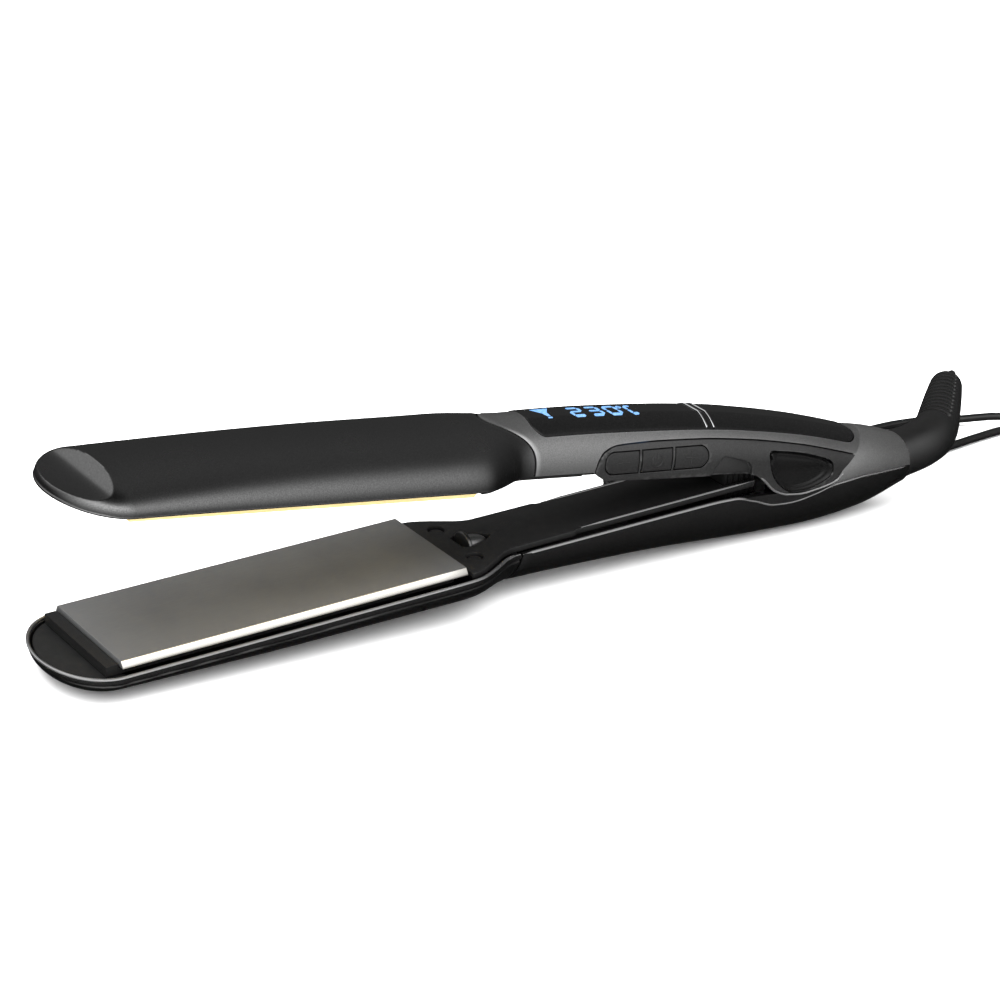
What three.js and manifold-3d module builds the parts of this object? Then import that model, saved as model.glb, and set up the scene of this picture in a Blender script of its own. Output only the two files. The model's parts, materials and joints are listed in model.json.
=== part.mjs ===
// Flat iron: two hinged arms with heated plates, a swivel cord and a hank of cord. Millimetres, +Z up.
import * as THREE from 'three';
import { mergeVertices } from 'three/addons/utils/BufferGeometryUtils.js';
import Module from 'manifold-3d';

const wasm = await Module();
wasm.setup();

// ---- driving dimensions (mm, degrees) ------------------------------------------------------------
// Arm frame: x from the front end of the plates to the tail, z = 0 where the closed plates meet.
const PLATE_LENGTH = 112;
const PLATE_WIDTH = 39;            // flat hair-facing width, without the bevels
const PLATE_BEVEL = 1;
const PLATE_THICKNESS = 2.2;
const NOSE_LENGTH = 15.5;          // rounded tip in front of the plates
const WALL = 1.8;                  // shell wall
const GAP = 0.35;                  // clearance between neighbouring pieces
const OPEN_ANGLE = 9.73;           // arms at rest, held open by the spring
const STAND_TILT = -3.108;         // pitch of the lower arm when it rests on a table
const STAND_HEIGHT = 12.14;        // plate plane above the table, at the arm frame's origin
const MID_LENGTH = 139.27;         // middle of the iron's length, where the part's origin is
const HINGE = { x: 241, z: -2, pinRadius: 2, pinHalf: 11.3 };
const FRONT_SEAM = { rim: 135, lean: 15 };            // barrel to handle, leaning forward at the crown
const LOWER_SEAM = { rim: 134, lean: 3 };
const TAIL_SEAM = { x: 247.8, z: 8.4, radius: 19.5 }; // round seam between upper arm and tail cover
const PANEL_START = 157.6;         // front end of the side panels
const TAIL_END = 293;
const TAIL_AXIS = { z: -13, slope: 0.117, radius: 8.8 };
const COVER = { start: 138.2, end: 262, half: 9.5, frontRound: 5, rearRound: 7, band: 205, bandWidth: 3.4 };
const BUTTONS = [
  { name: 'button_minus', x0: 162.9, x1: 175.4, round: -1 },
  { name: 'button_power', x0: 177.0, x1: 188.2, round: 0 },
  { name: 'button_plus', x0: 189.8, x1: 202.5, round: 1 },
];
const BUTTON_Z = { low: 1.9, high: 8.3, rise: 0.016 };
const CORD = { diameter: 2.8, sides: 8, steps: 78 };
const ELBOW = { stem: 281, bend: 311, reach: 39, angle: 42, roll: 5, rootRadius: 8, tipRadius: 5.2 };

// ---- finishes ------------------------------------------------------------------------------------
const finish = (color, roughness, metalness = 0) => ({ color, roughness, metalness });
const FINISH = {
  shell: finish(0x3c3c3e, 0.42),
  satin: finish(0x6a6a6c, 0.4),
  inner: finish(0x262627, 0.6),
  gloss: finish(0x060607, 0.08),
  titanium: finish(0x747370, 0.16, 0.9),
  gold: finish(0xd9c27a, 0.2, 0.9),
  steel: finish(0xb9babc, 0.3, 1),
  chrome: finish(0xe4e5e8, 0.08, 1),
  ceramic: finish(0xe6e2da, 0.6),
  silicone: finish(0xb5532f, 0.8),
  board: finish(0x1d5a37, 0.6),
  rubber: finish(0x161617, 0.75),
  brass: finish(0xc9a24b, 0.3, 1),
};

// ---- smooth curves through a few stations --------------------------------------------------------
function through(stations) {
  const xs = stations.map(([x]) => x);
  const ys = stations.map(([, y]) => y);
  const slopes = xs.slice(1).map((x, i) => (ys[i + 1] - ys[i]) / (x - xs[i]));
  const tangents = xs.map((_, i) => {
    const before = slopes[i - 1] ?? slopes[i];
    const after = slopes[i] ?? before;
    return before * after <= 0 ? 0 : (2 * before * after) / (before + after);
  });
  return (x) => {
    if (x <= xs[0]) return ys[0];
    if (x >= xs.at(-1)) return ys.at(-1);
    const i = xs.findIndex((value) => value > x) - 1;
    const h = xs[i + 1] - xs[i];
    const t = (x - xs[i]) / h;
    const rise = ys[i + 1] - ys[i];
    const m0 = tangents[i] * h;
    const m1 = tangents[i + 1] * h;
    return ys[i] + t * (m0 + t * (3 * rise - 2 * m0 - m1 + t * (m0 + m1 - 2 * rise)));
  };
}

// ---- the arms' outer form ------------------------------------------------------------------------
// half: half width; spring: height of the widest line; crown: height at the middle; rim: shell edge.
const nose = (x) => (x < 0 ? Math.sqrt(Math.max(0, 1 - (x / NOSE_LENGTH) ** 2)) : 1);
const handleHalf = through([[104, 22.6], [122, 17.8], [136, 14.2], [150, 13.8], [245, 13.8], [262, 13.2],
  [275, 12], [286, 10.2], [TAIL_END, TAIL_AXIS.radius]]);
const half = (x) => handleHalf(x) * nose(x);
const lowerSpring = through([[140, -4.5], [205, -4.9], [222, -6], [240, -8], [256, -9.7], [275, -11.6],
  [TAIL_END, TAIL_AXIS.z]]);
const lowerCrown = through([[0, -12.4], [22, -13.6], [56, -15], [92, -15.5], [118, -16], [145, -17.2],
  [172, -19], [193, -20.7], [210, -22.6], [233, -24.9], [257, -26.3], [274, -25.6], [TAIL_END, -21.8]]);
const lowerRim = through([[113, -4], [140, -4.4], [206, -4.7], [216, -5.2], [224, -7.6], [232, -10.7],
  [241, -11.6], [249, -10.9], [257, -9.9], [266, -9.9], [TAIL_END, -10.4]]);
const upperSpring = through([[0, 3.1], [200, 3.4], [230, 2.2], [262, -1]]);
const upperCrown = through([[0, 10.8], [11, 11.8], [40, 13.9], [72, 15.4], [106, 16.2], [135, 17.4],
  [160, 18], [187, 17.6], [211, 16.4], [224, 15.1], [242, 12.8], [262, 9.3], [270, 7.6]]);
const upperRim = through([[0, 2.5], [20, 2.7], [104, 2.9], [PANEL_START - 1, 2.9], [PANEL_START + 2, 0.2],
  [219, 0.2], [226, -3.4], [232.7, -8.6], [238, -9.6], [243, -9.6], [256.6, -6.4], [262, -2]]);
const panelSeam = through([[150, 10.2], [165, 10.4], [200, 10.4], [210, 9.8], [235, 6.9], [262, 1.8]]);
const collarCrown = through([[262, 4.4], [272, 2.7], [280, 0.6], [286, -1.6], [TAIL_END, -4.6]]);

const dome = (side, spring, crown, rim) => ({
  side,
  half,
  spring,
  rim,
  crown: (x) => spring(x) + (crown(x) - spring(x)) * nose(x),
});
const LOWER = dome(-1, lowerSpring, lowerCrown, lowerRim);
const UPPER = dome(1, upperSpring, upperCrown, upperRim);
const COLLAR = dome(1, (x) => lowerRim(x) + GAP, collarCrown, (x) => lowerRim(x) + GAP);

// A point of the section at angle phi (0 near side, PI far side), `inset` below the outer face.
function atAngle(arm, x, phi, inset = 0) {
  const rise = arm.crown(x) - arm.spring(x) - arm.side * inset;
  const y = -(arm.half(x) - inset) * Math.cos(phi);
  return new THREE.Vector3(x, y, arm.spring(x) + rise * Math.sin(phi));
}

// A point of the section at height z; `hand` is -1 on the near side and 1 on the far side.
function atHeight(arm, x, z, hand, inset = 0) {
  const rise = arm.crown(x) - arm.spring(x) - arm.side * inset;
  const part = Math.min(1, Math.max(0, (z - arm.spring(x)) / rise));
  return new THREE.Vector3(x, hand * (arm.half(x) - inset) * Math.sqrt(1 - part * part), z);
}

const angleAtHeight = (arm, x, z) => {
  const part = (z - arm.spring(x)) / (arm.crown(x) - arm.spring(x));
  return Math.asin(Math.min(1, Math.max(0, part)));
};
const angleAtWidth = (arm, x, width) => Math.acos(width / arm.half(x));
const spread = (from, to, count) =>
  Array.from({ length: count }, (_, i) => from + ((to - from) * i) / (count - 1));

// ---- closed bodies -------------------------------------------------------------------------------
function signedVolume(geometry) {
  const p = geometry.attributes.position;
  const index = geometry.index.array;
  const [a, b, c] = [new THREE.Vector3(), new THREE.Vector3(), new THREE.Vector3()];
  let volume = 0;
  for (let i = 0; i < index.length; i += 3) {
    a.fromBufferAttribute(p, index[i]);
    b.fromBufferAttribute(p, index[i + 1]);
    c.fromBufferAttribute(p, index[i + 2]);
    volume += a.dot(b.cross(c)) / 6;
  }
  return volume;
}

function facingOut(geometry) {
  if (signedVolume(geometry) < 0) geometry.index.array.reverse();
  return geometry;
}

// Skin over rings of equal point count, with both ends closed over the outline of the end rings.
// A curved strip's ring runs along its outer face and back along its inner one, and its ends are ladders.
function loft(rings, isStrip = false) {
  const count = rings[0].length;
  const points = rings.flat();
  const index = [];
  for (let r = 0; r + 1 < rings.length; r += 1) {
    for (let i = 0; i < count; i += 1) {
      const j = (i + 1) % count;
      const [a, b, c, d] = [r * count + i, r * count + j, (r + 1) * count + j, (r + 1) * count + i];
      index.push(a, b, d, b, c, d);
    }
  }
  const close = (base, isEnd, i, j, k) => {
    index.push(...(isEnd ? [base + i, base + j, base + k] : [base + i, base + k, base + j]));
  };
  const cap = (ring, base, isEnd) => {
    if (isStrip) {
      for (let i = 0; i + 1 < count / 2; i += 1) {
        close(base, isEnd, i, i + 1, count - 1 - i);
        close(base, isEnd, i + 1, count - 2 - i, count - 1 - i);
      }
      return;
    }
    const outline = ring.map((p) => new THREE.Vector2(p.y, p.z));
    const turn = Math.sign(THREE.ShapeUtils.area(outline));
    for (const [i, j, k] of THREE.ShapeUtils.triangulateShape(outline, [])) {
      const sameTurn = Math.sign(THREE.ShapeUtils.area([outline[i], outline[j], outline[k]])) === turn;
      close(base, sameTurn === isEnd, i, j, k);
    }
  };
  cap(rings[0], 0, false);
  cap(rings.at(-1), (rings.length - 1) * count, true);
  const geometry = new THREE.BufferGeometry().setFromPoints(points);
  geometry.setIndex(index);
  return facingOut(geometry);
}

function toManifold(geometry) {
  const bare = geometry.clone();
  bare.deleteAttribute('normal');
  bare.deleteAttribute('uv');
  const merged = mergeVertices(bare, 1e-4);
  return new wasm.Manifold(new wasm.Mesh({
    numProp: 3,
    vertProperties: Float32Array.from(merged.attributes.position.array),
    triVerts: Uint32Array.from(merged.index.array),
  }));
}

function fromManifold(manifold) {
  const { vertProperties, triVerts } = manifold.getMesh();
  const geometry = new THREE.BufferGeometry();
  geometry.setAttribute('position', new THREE.BufferAttribute(vertProperties, 3));
  geometry.setIndex(new THREE.BufferAttribute(triVerts, 1));
  return geometry;
}

const solid = (item) => (item.isBufferGeometry ? toManifold(item) : item);
const join = (...items) => fromManifold(items.map(solid).reduce((sum, item) => sum.add(item)));
const cut = (base, ...tools) =>
  fromManifold(tools.map(solid).reduce((rest, tool) => rest.subtract(tool), solid(base)));
const common = (a, b) => fromManifold(solid(a).intersect(solid(b)));

// Box between two corners, cylinder along an axis, prism of an outline drawn in x and z.
function box(x0, x1, y0, y1, z0, z1) {
  return new THREE.BoxGeometry(x1 - x0, y1 - y0, z1 - z0)
    .translate((x0 + x1) / 2, (y0 + y1) / 2, (z0 + z1) / 2);
}
function rodY(x, z, radius, y0, y1, sides = 20) {
  return new THREE.CylinderGeometry(radius, radius, y1 - y0, sides).translate(x, (y0 + y1) / 2, z);
}
function rodZ(x, y, radius, z0, z1, sides = 16) {
  return new THREE.CylinderGeometry(radius, radius, z1 - z0, sides)
    .rotateX(Math.PI / 2).translate(x, y, (z0 + z1) / 2);
}
function prismY(shape, y0, y1) {
  return new THREE.ExtrudeGeometry(shape, { depth: y1 - y0, bevelEnabled: false, curveSegments: 6 })
    .rotateX(Math.PI / 2).translate(0, y1, 0);
}
function prismZ(shape, z0, z1) {
  return new THREE.ExtrudeGeometry(shape, { depth: z1 - z0, bevelEnabled: false, curveSegments: 6 })
    .translate(0, 0, z0);
}

// ---- shells --------------------------------------------------------------------------------------
// Half shell of a barrel: a hollow nose joined to a strip that runs back to the seam with the handle.
function barrelShell(arm, seam, opening) {
  const angles = spread(0.12, Math.PI - 0.12, 13);
  const straight = (x) => () => x;
  const leanStart = 92;
  const leaning = (f) => (phi) => leanStart + (seam.rim - seam.lean * Math.sin(phi) - leanStart) * f;
  const lateral = (top, steps = angles) => (place, inset) => [
    atHeight(arm, place(0), top(place(0)), -1, inset),
    ...steps.map((phi) => atAngle(arm, place(phi), phi, inset)),
    atHeight(arm, place(0), top(place(0)), 1, inset),
  ];
  const rimSection = lateral(arm.rim);
  const places = [...[0, 30, 62, leanStart].map(straight), ...[0.3, 0.6, 0.8, 1].map(leaning)];
  const barrel = strip(places, rimSection, 0, WALL);
  const noseStations = [86, 68, 48, 26, 0].map((a) => straight(-NOSE_LENGTH * Math.sin((a * Math.PI) / 180)));
  const openSection = lateral((x) => arm.rim(x) - arm.side * 3);
  const floorSection = lateral((x) => arm.rim(x) + arm.side * 1.6, spread(0.35, Math.PI - 0.35, 9));
  const tip = cut(
    loft(noseStations.map((place) => rimSection(place, 0))),
    loft([opening, 0, 1].map((x) => openSection(straight(x), WALL))),
    loft([-10.5, -7.5, opening + 1].map((x) => floorSection(straight(x), WALL))),
  );
  return join(barrel, tip);
}

// Curved strip of shell over a list of places; lateral(place, inset) gives the section's points.
function strip(places, lateral, insetOuter, insetInner) {
  const ring = (place) => [...lateral(place, insetOuter), ...lateral(place, insetInner).reverse()];
  return loft(places.map(ring), true);
}

// The round seam's middle in the closed upper arm: the tail's own seam turned back about the hinge.
const openRadians = THREE.MathUtils.degToRad(OPEN_ANGLE);
const closedSeam = (() => {
  const dx = TAIL_SEAM.x - HINGE.x;
  const dz = TAIL_SEAM.z - HINGE.z;
  return {
    x: HINGE.x + dx * Math.cos(openRadians) - dz * Math.sin(openRadians),
    z: HINGE.z + dz * Math.cos(openRadians) + dx * Math.sin(openRadians),
  };
})();
// Everything that the upper arm may fill: a drum at the seam and all that lies in front of its middle.
const upperReach = join(
  rodY(closedSeam.x, closedSeam.z, TAIL_SEAM.radius - GAP, -40, 40, 72),
  box(100, closedSeam.x, -40, 40, -40, 60),
);
const seamDrum = rodY(TAIL_SEAM.x, TAIL_SEAM.z, TAIL_SEAM.radius + GAP / 2, -40, 40, 72);

function lowerHandleShell() {
  const front = (phi) => LOWER_SEAM.rim + GAP - LOWER_SEAM.lean * Math.sin(phi);
  const stations = [150, 172, 193, 208, 216, 224, 232, 241, 249, 257, 266, 275, 286, TAIL_END];
  const places = [front, ...stations.map((x) => () => x)];
  const lateral = (place, inset) => {
    const x = place(0);
    const first = Math.max(0.02, angleAtHeight(LOWER, x, lowerRim(x))) + 0.16;
    return [
      atHeight(LOWER, x, lowerRim(x), -1, inset),
      ...spread(first, Math.PI - first, 11).map((phi) => atAngle(LOWER, place(phi), phi, inset)),
      atHeight(LOWER, x, lowerRim(x), 1, inset),
    ];
  };
  const screwHoles = UNDERSIDE_SCREWS.map(({ x, y }) => rodZ(x, y, 2.4, -40, -10));
  return cut(strip(places, lateral, 0, WALL), ...screwHoles, STAND_CUT);
}

function tailCover() {
  const places = [250, 257, 264, 272, 280, 286, TAIL_END].map((x) => () => x);
  const lateral = (place, inset) =>
    spread(0, Math.PI, 15).map((phi) => atAngle(COLLAR, place(phi), phi, inset));
  return cut(strip(places, lateral, 0, WALL), seamDrum);
}

// ---- upper handle --------------------------------------------------------------------------------
function upperHandleShell() {
  const start = (phi) => FRONT_SEAM.rim + GAP - FRONT_SEAM.lean * Math.sin(phi);
  const end = PANEL_START - 0.4;
  const front = [0, 0.35, 0.7, 1].map((part) => (phi) => start(phi) + (end - start(phi)) * part);
  const whole = (place, inset) => [
    atHeight(UPPER, place(0), UPPER.rim(place(0)), -1, inset),
    ...spread(0.12, Math.PI - 0.12, 13).map((phi) => atAngle(UPPER, place(phi), phi, inset)),
    atHeight(UPPER, place(0), UPPER.rim(place(0)), 1, inset),
  ];
  const overPanels = (x, inset) => {
    const edge = angleAtHeight(UPPER, x, panelSeam(x) + GAP / 2);
    return spread(edge, Math.PI - edge, 15).map((phi) => atAngle(UPPER, x, phi, inset));
  };
  const rear = [end, 172, 186, 200, 210, 222, 235, 246, 256, 266];
  const shell = join(strip(front, whole, 0, WALL), strip(rear, overPanels, 0, WALL));
  return cut(common(shell, upperReach), coverBody(-1, WALL + 1, -GAP));
}

// The glossy inlay on the handle's crown, between two depths; `grow` < 0 makes it larger all round.
function coverBody(outer, inner, grow, from = COVER.start, to = COVER.end) {
  const width = (x) => COVER.half - grow - 1.6 * Math.max(0, (x - 244) / 18) ** 2;
  const round = (v) => (2 * v - 1) ** 4;
  const startX = (v) => (from === COVER.start ? from + COVER.frontRound * round(v) + grow : from);
  const endX = (v) => (to === COVER.end ? to - COVER.rearRound * round(v) - grow : to);
  const between = spread(148, 246, 8).filter((x) => x > from + 1 && x < to - 1).map((x) => () => x);
  const lateral = (place, inset) => spread(0, 1, 9).map((v) => {
    const x = place(v);
    const edge = angleAtWidth(UPPER, x, width(x));
    return atAngle(UPPER, x, edge + (Math.PI - 2 * edge) * v, inset);
  });
  return strip([startX, ...between, endX], lateral, outer, inner);
}

// A section point at height z whose inner side lies square to the outer face above the widest line.
function atLevel(arm, x, z, hand, inset) {
  if (z <= arm.spring(x)) return atHeight(arm, x, z, hand, inset);
  const point = atAngle(arm, x, angleAtHeight(arm, x, z), inset);
  point.y *= -hand;
  return point;
}

function panelBody(hand, outer = 0, inner = WALL) {
  const places = [PANEL_START, 166, 182, 198, 210, 219, 223, 226, 229.5, 232.7, 238, 243, 250, 256.6,
    262, 266];
  const lateral = (x, inset) => {
    const low = UPPER.rim(x);
    return spread(low, panelSeam(x) - GAP / 2, 7).map((z) => atLevel(UPPER, x, z, hand, inset));
  };
  return common(strip(places, lateral, outer, inner), upperReach);
}

// D-shaped outline of the hinge cap, in the upper arm's x and z; `grow` widens it all round.
function capOutline(grow) {
  const shape = new THREE.Shape();
  const g = grow;
  shape.moveTo(229.2 - g * 0.5, 5.8 + g);
  shape.quadraticCurveTo(241, 5.2 + g, 251.6 + g * 0.5, 2.4 + g);
  shape.quadraticCurveTo(255.4 + g, 1.2, 255.6 + g, -1.4);
  shape.quadraticCurveTo(255.4 + g, -4.2 - g, 248, -7.3 - g);
  shape.quadraticCurveTo(240, -10.2 - g, 235.4 - g * 0.5, -8 - g);
  shape.quadraticCurveTo(231.4 - g, -5.2, 227 - g, 4.3);
  shape.closePath();
  return shape;
}

// Outline of one push button or of its window; the outer buttons have one round end each.
function buttonOutline({ x0, x1, round }, grow) {
  const shape = new THREE.Shape();
  const rise = (x) => BUTTON_Z.rise * (x - BUTTONS[0].x0);
  const z = (x, high) => (high ? BUTTON_Z.high + grow : BUTTON_Z.low - grow) + rise(x);
  const [a, b] = [x0 - grow, x1 + grow];
  const bend = 3.2;
  shape.moveTo(round < 0 ? a + bend : a, z(a, false));
  shape.lineTo(round > 0 ? b - bend : b, z(b, false));
  if (round > 0) shape.quadraticCurveTo(b, z(b, false), b, (z(b, false) + z(b, true)) / 2);
  if (round > 0) shape.quadraticCurveTo(b, z(b, true), b - bend, z(b, true));
  else shape.lineTo(b, z(b, true));
  shape.lineTo(round < 0 ? a + bend : a, z(a, true));
  if (round < 0) shape.quadraticCurveTo(a, z(a, true), a, (z(a, false) + z(a, true)) / 2);
  if (round < 0) shape.quadraticCurveTo(a, z(a, false), a + bend, z(a, false));
  else shape.lineTo(a, z(a, false));
  return shape;
}

function sidePanel(hand) {
  const boss = hand < 0
    ? rodY(HINGE.x, HINGE.z, 5.6, -12.4, -9.3)
    : rodY(HINGE.x, HINGE.z, 5.6, 9.3, 12.4);
  const far = hand * 30;
  const capWindow = prismY(capOutline(GAP), Math.min(hand * 11.9, far), Math.max(hand * 11.9, far));
  const tools = [capWindow, rodY(HINGE.x, HINGE.z, HINGE.pinRadius + 0.3, -11.7, 11.7)];
  if (hand < 0) tools.push(...BUTTONS.map((button) => prismY(buttonOutline(button, GAP), far, -8)));
  return cut(join(panelBody(hand), boss), ...tools);
}

const hingeCap = (hand) => common(
  panelBody(hand, 0.3, 1.5),
  prismY(capOutline(0), Math.min(hand * 12.1, hand * 30), Math.max(hand * 12.1, hand * 30)),
);

const buttonBody = (button) => common(
  panelBody(-1, 0.1, 1.75),
  prismY(buttonOutline(button, 0), -30, -8),
);

// ---- covers between the arms ---------------------------------------------------------------------
function coverOutline(x0, x1, inset) {
  const xs = [x0, 118, 124, 130, 136, 145, 155, 157, x1];
  const edge = (x) => half(x) - inset - (x > 156 ? 0.8 : 0);
  const outline = new THREE.Shape();
  outline.moveTo(xs[0], -edge(xs[0]));
  xs.slice(1).forEach((x) => outline.lineTo(x, -edge(x)));
  xs.reverse().forEach((x) => outline.lineTo(x, edge(x)));
  outline.closePath();
  return outline;
}
const COVER_SCREWS = [{ x: 120.8, y: -10.6 }, { x: 120.8, y: 10.6 }];
const UNDERSIDE_SCREWS = [{ x: 142, y: 0 }, { x: 276, y: 0 }];

function innerCover(side, zFace, x1) {
  const zBack = zFace + side * 1.9;
  const outline = coverOutline(PLATE_LENGTH + 2, x1, WALL + GAP);
  const plate = prismZ(outline, Math.min(zFace, zBack), Math.max(zFace, zBack));
  const holes = COVER_SCREWS.map(({ x, y }) => rodZ(x, y, 2.6, -8, 8));
  return side < 0 ? cut(plate, ...holes, box(120.6, 131.4, -4.4, 4.4, -8, 8)) : cut(plate, ...holes);
}

function screw(x, y, zHead, side) {
  const ends = (depth) => [Math.min(zHead, zHead + side * depth), Math.max(zHead, zHead + side * depth)];
  return join(rodZ(x, y, 2.1, ...ends(1.4)), rodZ(x, y, 1.1, ...ends(5), 10));
}

// ---- plate unit ----------------------------------------------------------------------------------
const plateHalf = PLATE_WIDTH / 2;
function plateBody(side) {
  const section = [[-plateHalf - PLATE_BEVEL, 1.6], [-plateHalf, 0], [plateHalf, 0],
    [plateHalf + PLATE_BEVEL, 1.6],
    [plateHalf + PLATE_BEVEL, PLATE_THICKNESS], [-plateHalf - PLATE_BEVEL, PLATE_THICKNESS]];
  const ring = (x) => section.map(([y, z]) => new THREE.Vector3(x, y, side * z));
  return loft([ring(0), ring(PLATE_LENGTH)]);
}
function carrierBody(side) {
  const layer = (x0, x1, y, z0, z1) =>
    box(x0, x1, -y, y, Math.min(side * z0, side * z1), Math.max(side * z0, side * z1));
  const pieces = [
    layer(-4.2, 108, 18.9, 2.5, 4),
    layer(107, 113.4, 17.2, 2.5, 4),
    layer(-4.2, -0.4, 18.9, 1.2, 3.9),
    layer(2, 110, 16.4, 3.8, 5.2),
    layer(2, 110, 13, 5, 6.2),
  ];
  const pocket = layer(12, 100, 10.8, 0, 5.6);
  return cut(join(...pieces), pocket);
}
function plateUnit(side, prefix, plateFinish) {
  const slab = (x0, x1, y0, y1, z0, z1) =>
    box(x0, x1, y0, y1, Math.min(side * z0, side * z1), Math.max(side * z0, side * z1));
  const arm = side < 0 ? LOWER : UPPER;
  const cushion = (x0, x1) => {
    const deepest = Math.min(Math.abs(arm.crown(x0)), Math.abs(arm.crown(x1))) - WALL - GAP;
    return slab(x0, x1, -6, 6, 6.7, deepest - 0.5);
  };
  return {
    moving: [
      [`${prefix}_plate`, plateBody(side), plateFinish],
      [`${prefix}_plate_carrier`, carrierBody(side), FINISH.inner],
      [`${prefix}_heater`, slab(14, 98, -7.5, 7.5, 2.5, 4), FINISH.ceramic],
      [`${prefix}_heater_clamp`, slab(20, 92, -4, 4, 4.3, 5.1), FINISH.steel],
      [`${prefix}_thermal_sensor`, slab(50, 58, 8.2, 10.2, 2.5, 4.4), FINISH.ceramic],
    ],
    fixed: [
      [`${prefix}_cushion_front`, cushion(12, 28), FINISH.silicone],
      [`${prefix}_cushion_rear`, cushion(84, 100), FINISH.silicone],
    ],
  };
}

// ---- ozone outlet --------------------------------------------------------------------------------
function ozoneOutlet() {
  const frame = box(120.9, 131.1, -4.1, 4.1, -4.6, -2.5);
  const well = box(121.9, 130.2, -3.2, 3.2, -4.2, -1);
  const hood = common(rodY(123.4, -3.6, 3.4, -3.6, 3.6, 24), box(120.9, 123.4, -3.6, 3.6, -4.4, 0));
  return join(cut(frame, well), hood);
}
const ozoneCone = () => new THREE.LatheGeometry(
  [[0, 0], [2.5, 0], [2.3, 1.6], [0.7, 5.4], [0, 5.8]].map(([r, h]) => new THREE.Vector2(r, h)), 16,
).rotateZ(-Math.PI / 2).scale(1, 1, 0.5).translate(123.9, 0, -2.55);

// ---- hinge ---------------------------------------------------------------------------------------
function hingeBracket() {
  const ear = (y0, y1) => join(rodY(HINGE.x, HINGE.z, 4.4, y0, y1), box(237, 245, y0, y1, -18, HINGE.z));
  const base = box(232, 250, -8.2, 8.2, -18.2, -16.8);
  const bore = rodY(HINGE.x, HINGE.z, HINGE.pinRadius + GAP, -10, 10);
  return cut(join(base, ear(-8.2, -6.8), ear(6.8, 8.2)), bore);
}
function hingeSpring() {
  const turns = 4;
  const pitch = 2.6;
  const radius = 4;
  const count = 44;
  const helix = spread(0, 1, count + 1).map((t) => {
    const angle = t * turns * 2 * Math.PI;
    const y = (t - 0.5) * turns * pitch;
    return new THREE.Vector3(HINGE.x + radius * Math.cos(angle), y, HINGE.z + radius * Math.sin(angle));
  });
  const wire = new THREE.Shape().absarc(0, 0, 0.7, 0, 2 * Math.PI);
  return new THREE.ExtrudeGeometry(wire, {
    steps: count, curveSegments: 3, bevelEnabled: false, extrudePath: new THREE.CatmullRomCurve3(helix),
  });
}

// ---- swivel elbow --------------------------------------------------------------------------------
const tailPoint = (x) => new THREE.Vector3(x, 0, TAIL_AXIS.z + (x - TAIL_END) * TAIL_AXIS.slope);
const tailDirection = new THREE.Vector3(1, 0, TAIL_AXIS.slope).normalize();
function elbowDirection() {
  const up = new THREE.Vector3(-TAIL_AXIS.slope, 0, 1).normalize();
  const roll = THREE.MathUtils.degToRad(ELBOW.roll);
  const bend = THREE.MathUtils.degToRad(ELBOW.angle);
  const side = new THREE.Vector3(0, Math.cos(roll), 0).addScaledVector(up, Math.sin(roll));
  return tailDirection.clone().multiplyScalar(Math.cos(bend)).addScaledVector(side, Math.sin(bend));
}
// Round body swept along points, with its own radius at each of them.
function swept(points, radii, sides) {
  const rings = points.map((point, i) => {
    const ahead = points[Math.min(i + 1, points.length - 1)];
    const behind = points[Math.max(i - 1, 0)];
    const axis = ahead.clone().sub(behind).normalize();
    const u = new THREE.Vector3(0, 0, 1).cross(axis).normalize();
    const v = axis.clone().cross(u);
    return spread(0, 2 * Math.PI, sides + 1).slice(0, -1).map((a) => point.clone()
      .addScaledVector(u, radii[i] * Math.cos(a)).addScaledVector(v, radii[i] * Math.sin(a)));
  });
  return loft(rings);
}
function cordElbow() {
  const corner = tailPoint(ELBOW.bend);
  const direction = elbowDirection();
  const arc = new THREE.QuadraticBezierCurve3(
    corner.clone().addScaledVector(tailDirection, -10), corner, corner.clone().addScaledVector(direction, 10),
  );
  const points = [tailPoint(ELBOW.stem), tailPoint(294), tailPoint(294.4), tailPoint(299)];
  const radii = [5.4, 5.4, ELBOW.rootRadius, ELBOW.rootRadius];
  spread(0, 1, 5).forEach((t) => {
    points.push(arc.getPoint(t));
    radii.push(ELBOW.rootRadius - 0.4 * t);
  });
  [0.4, 0.6, 0.8, 0.94, 1].forEach((t) => {
    points.push(corner.clone().addScaledVector(direction, ELBOW.reach * t));
    radii.push(t === 1 ? ELBOW.tipRadius - 2 : ELBOW.rootRadius - (ELBOW.rootRadius - ELBOW.tipRadius) * t);
  });
  return swept(points, radii, 16);
}
function swivelBush() {
  const profile = [[5.75, 0], [6.6, 0], [6.6, 8], [5.75, 8], [5.75, 0]]
    .map(([r, h]) => new THREE.Vector2(r, h));
  const place = new THREE.Quaternion().setFromUnitVectors(new THREE.Vector3(0, 1, 0), tailDirection);
  return new THREE.LatheGeometry(profile, 20).applyQuaternion(place).translate(...tailPoint(283).toArray());
}

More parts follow.
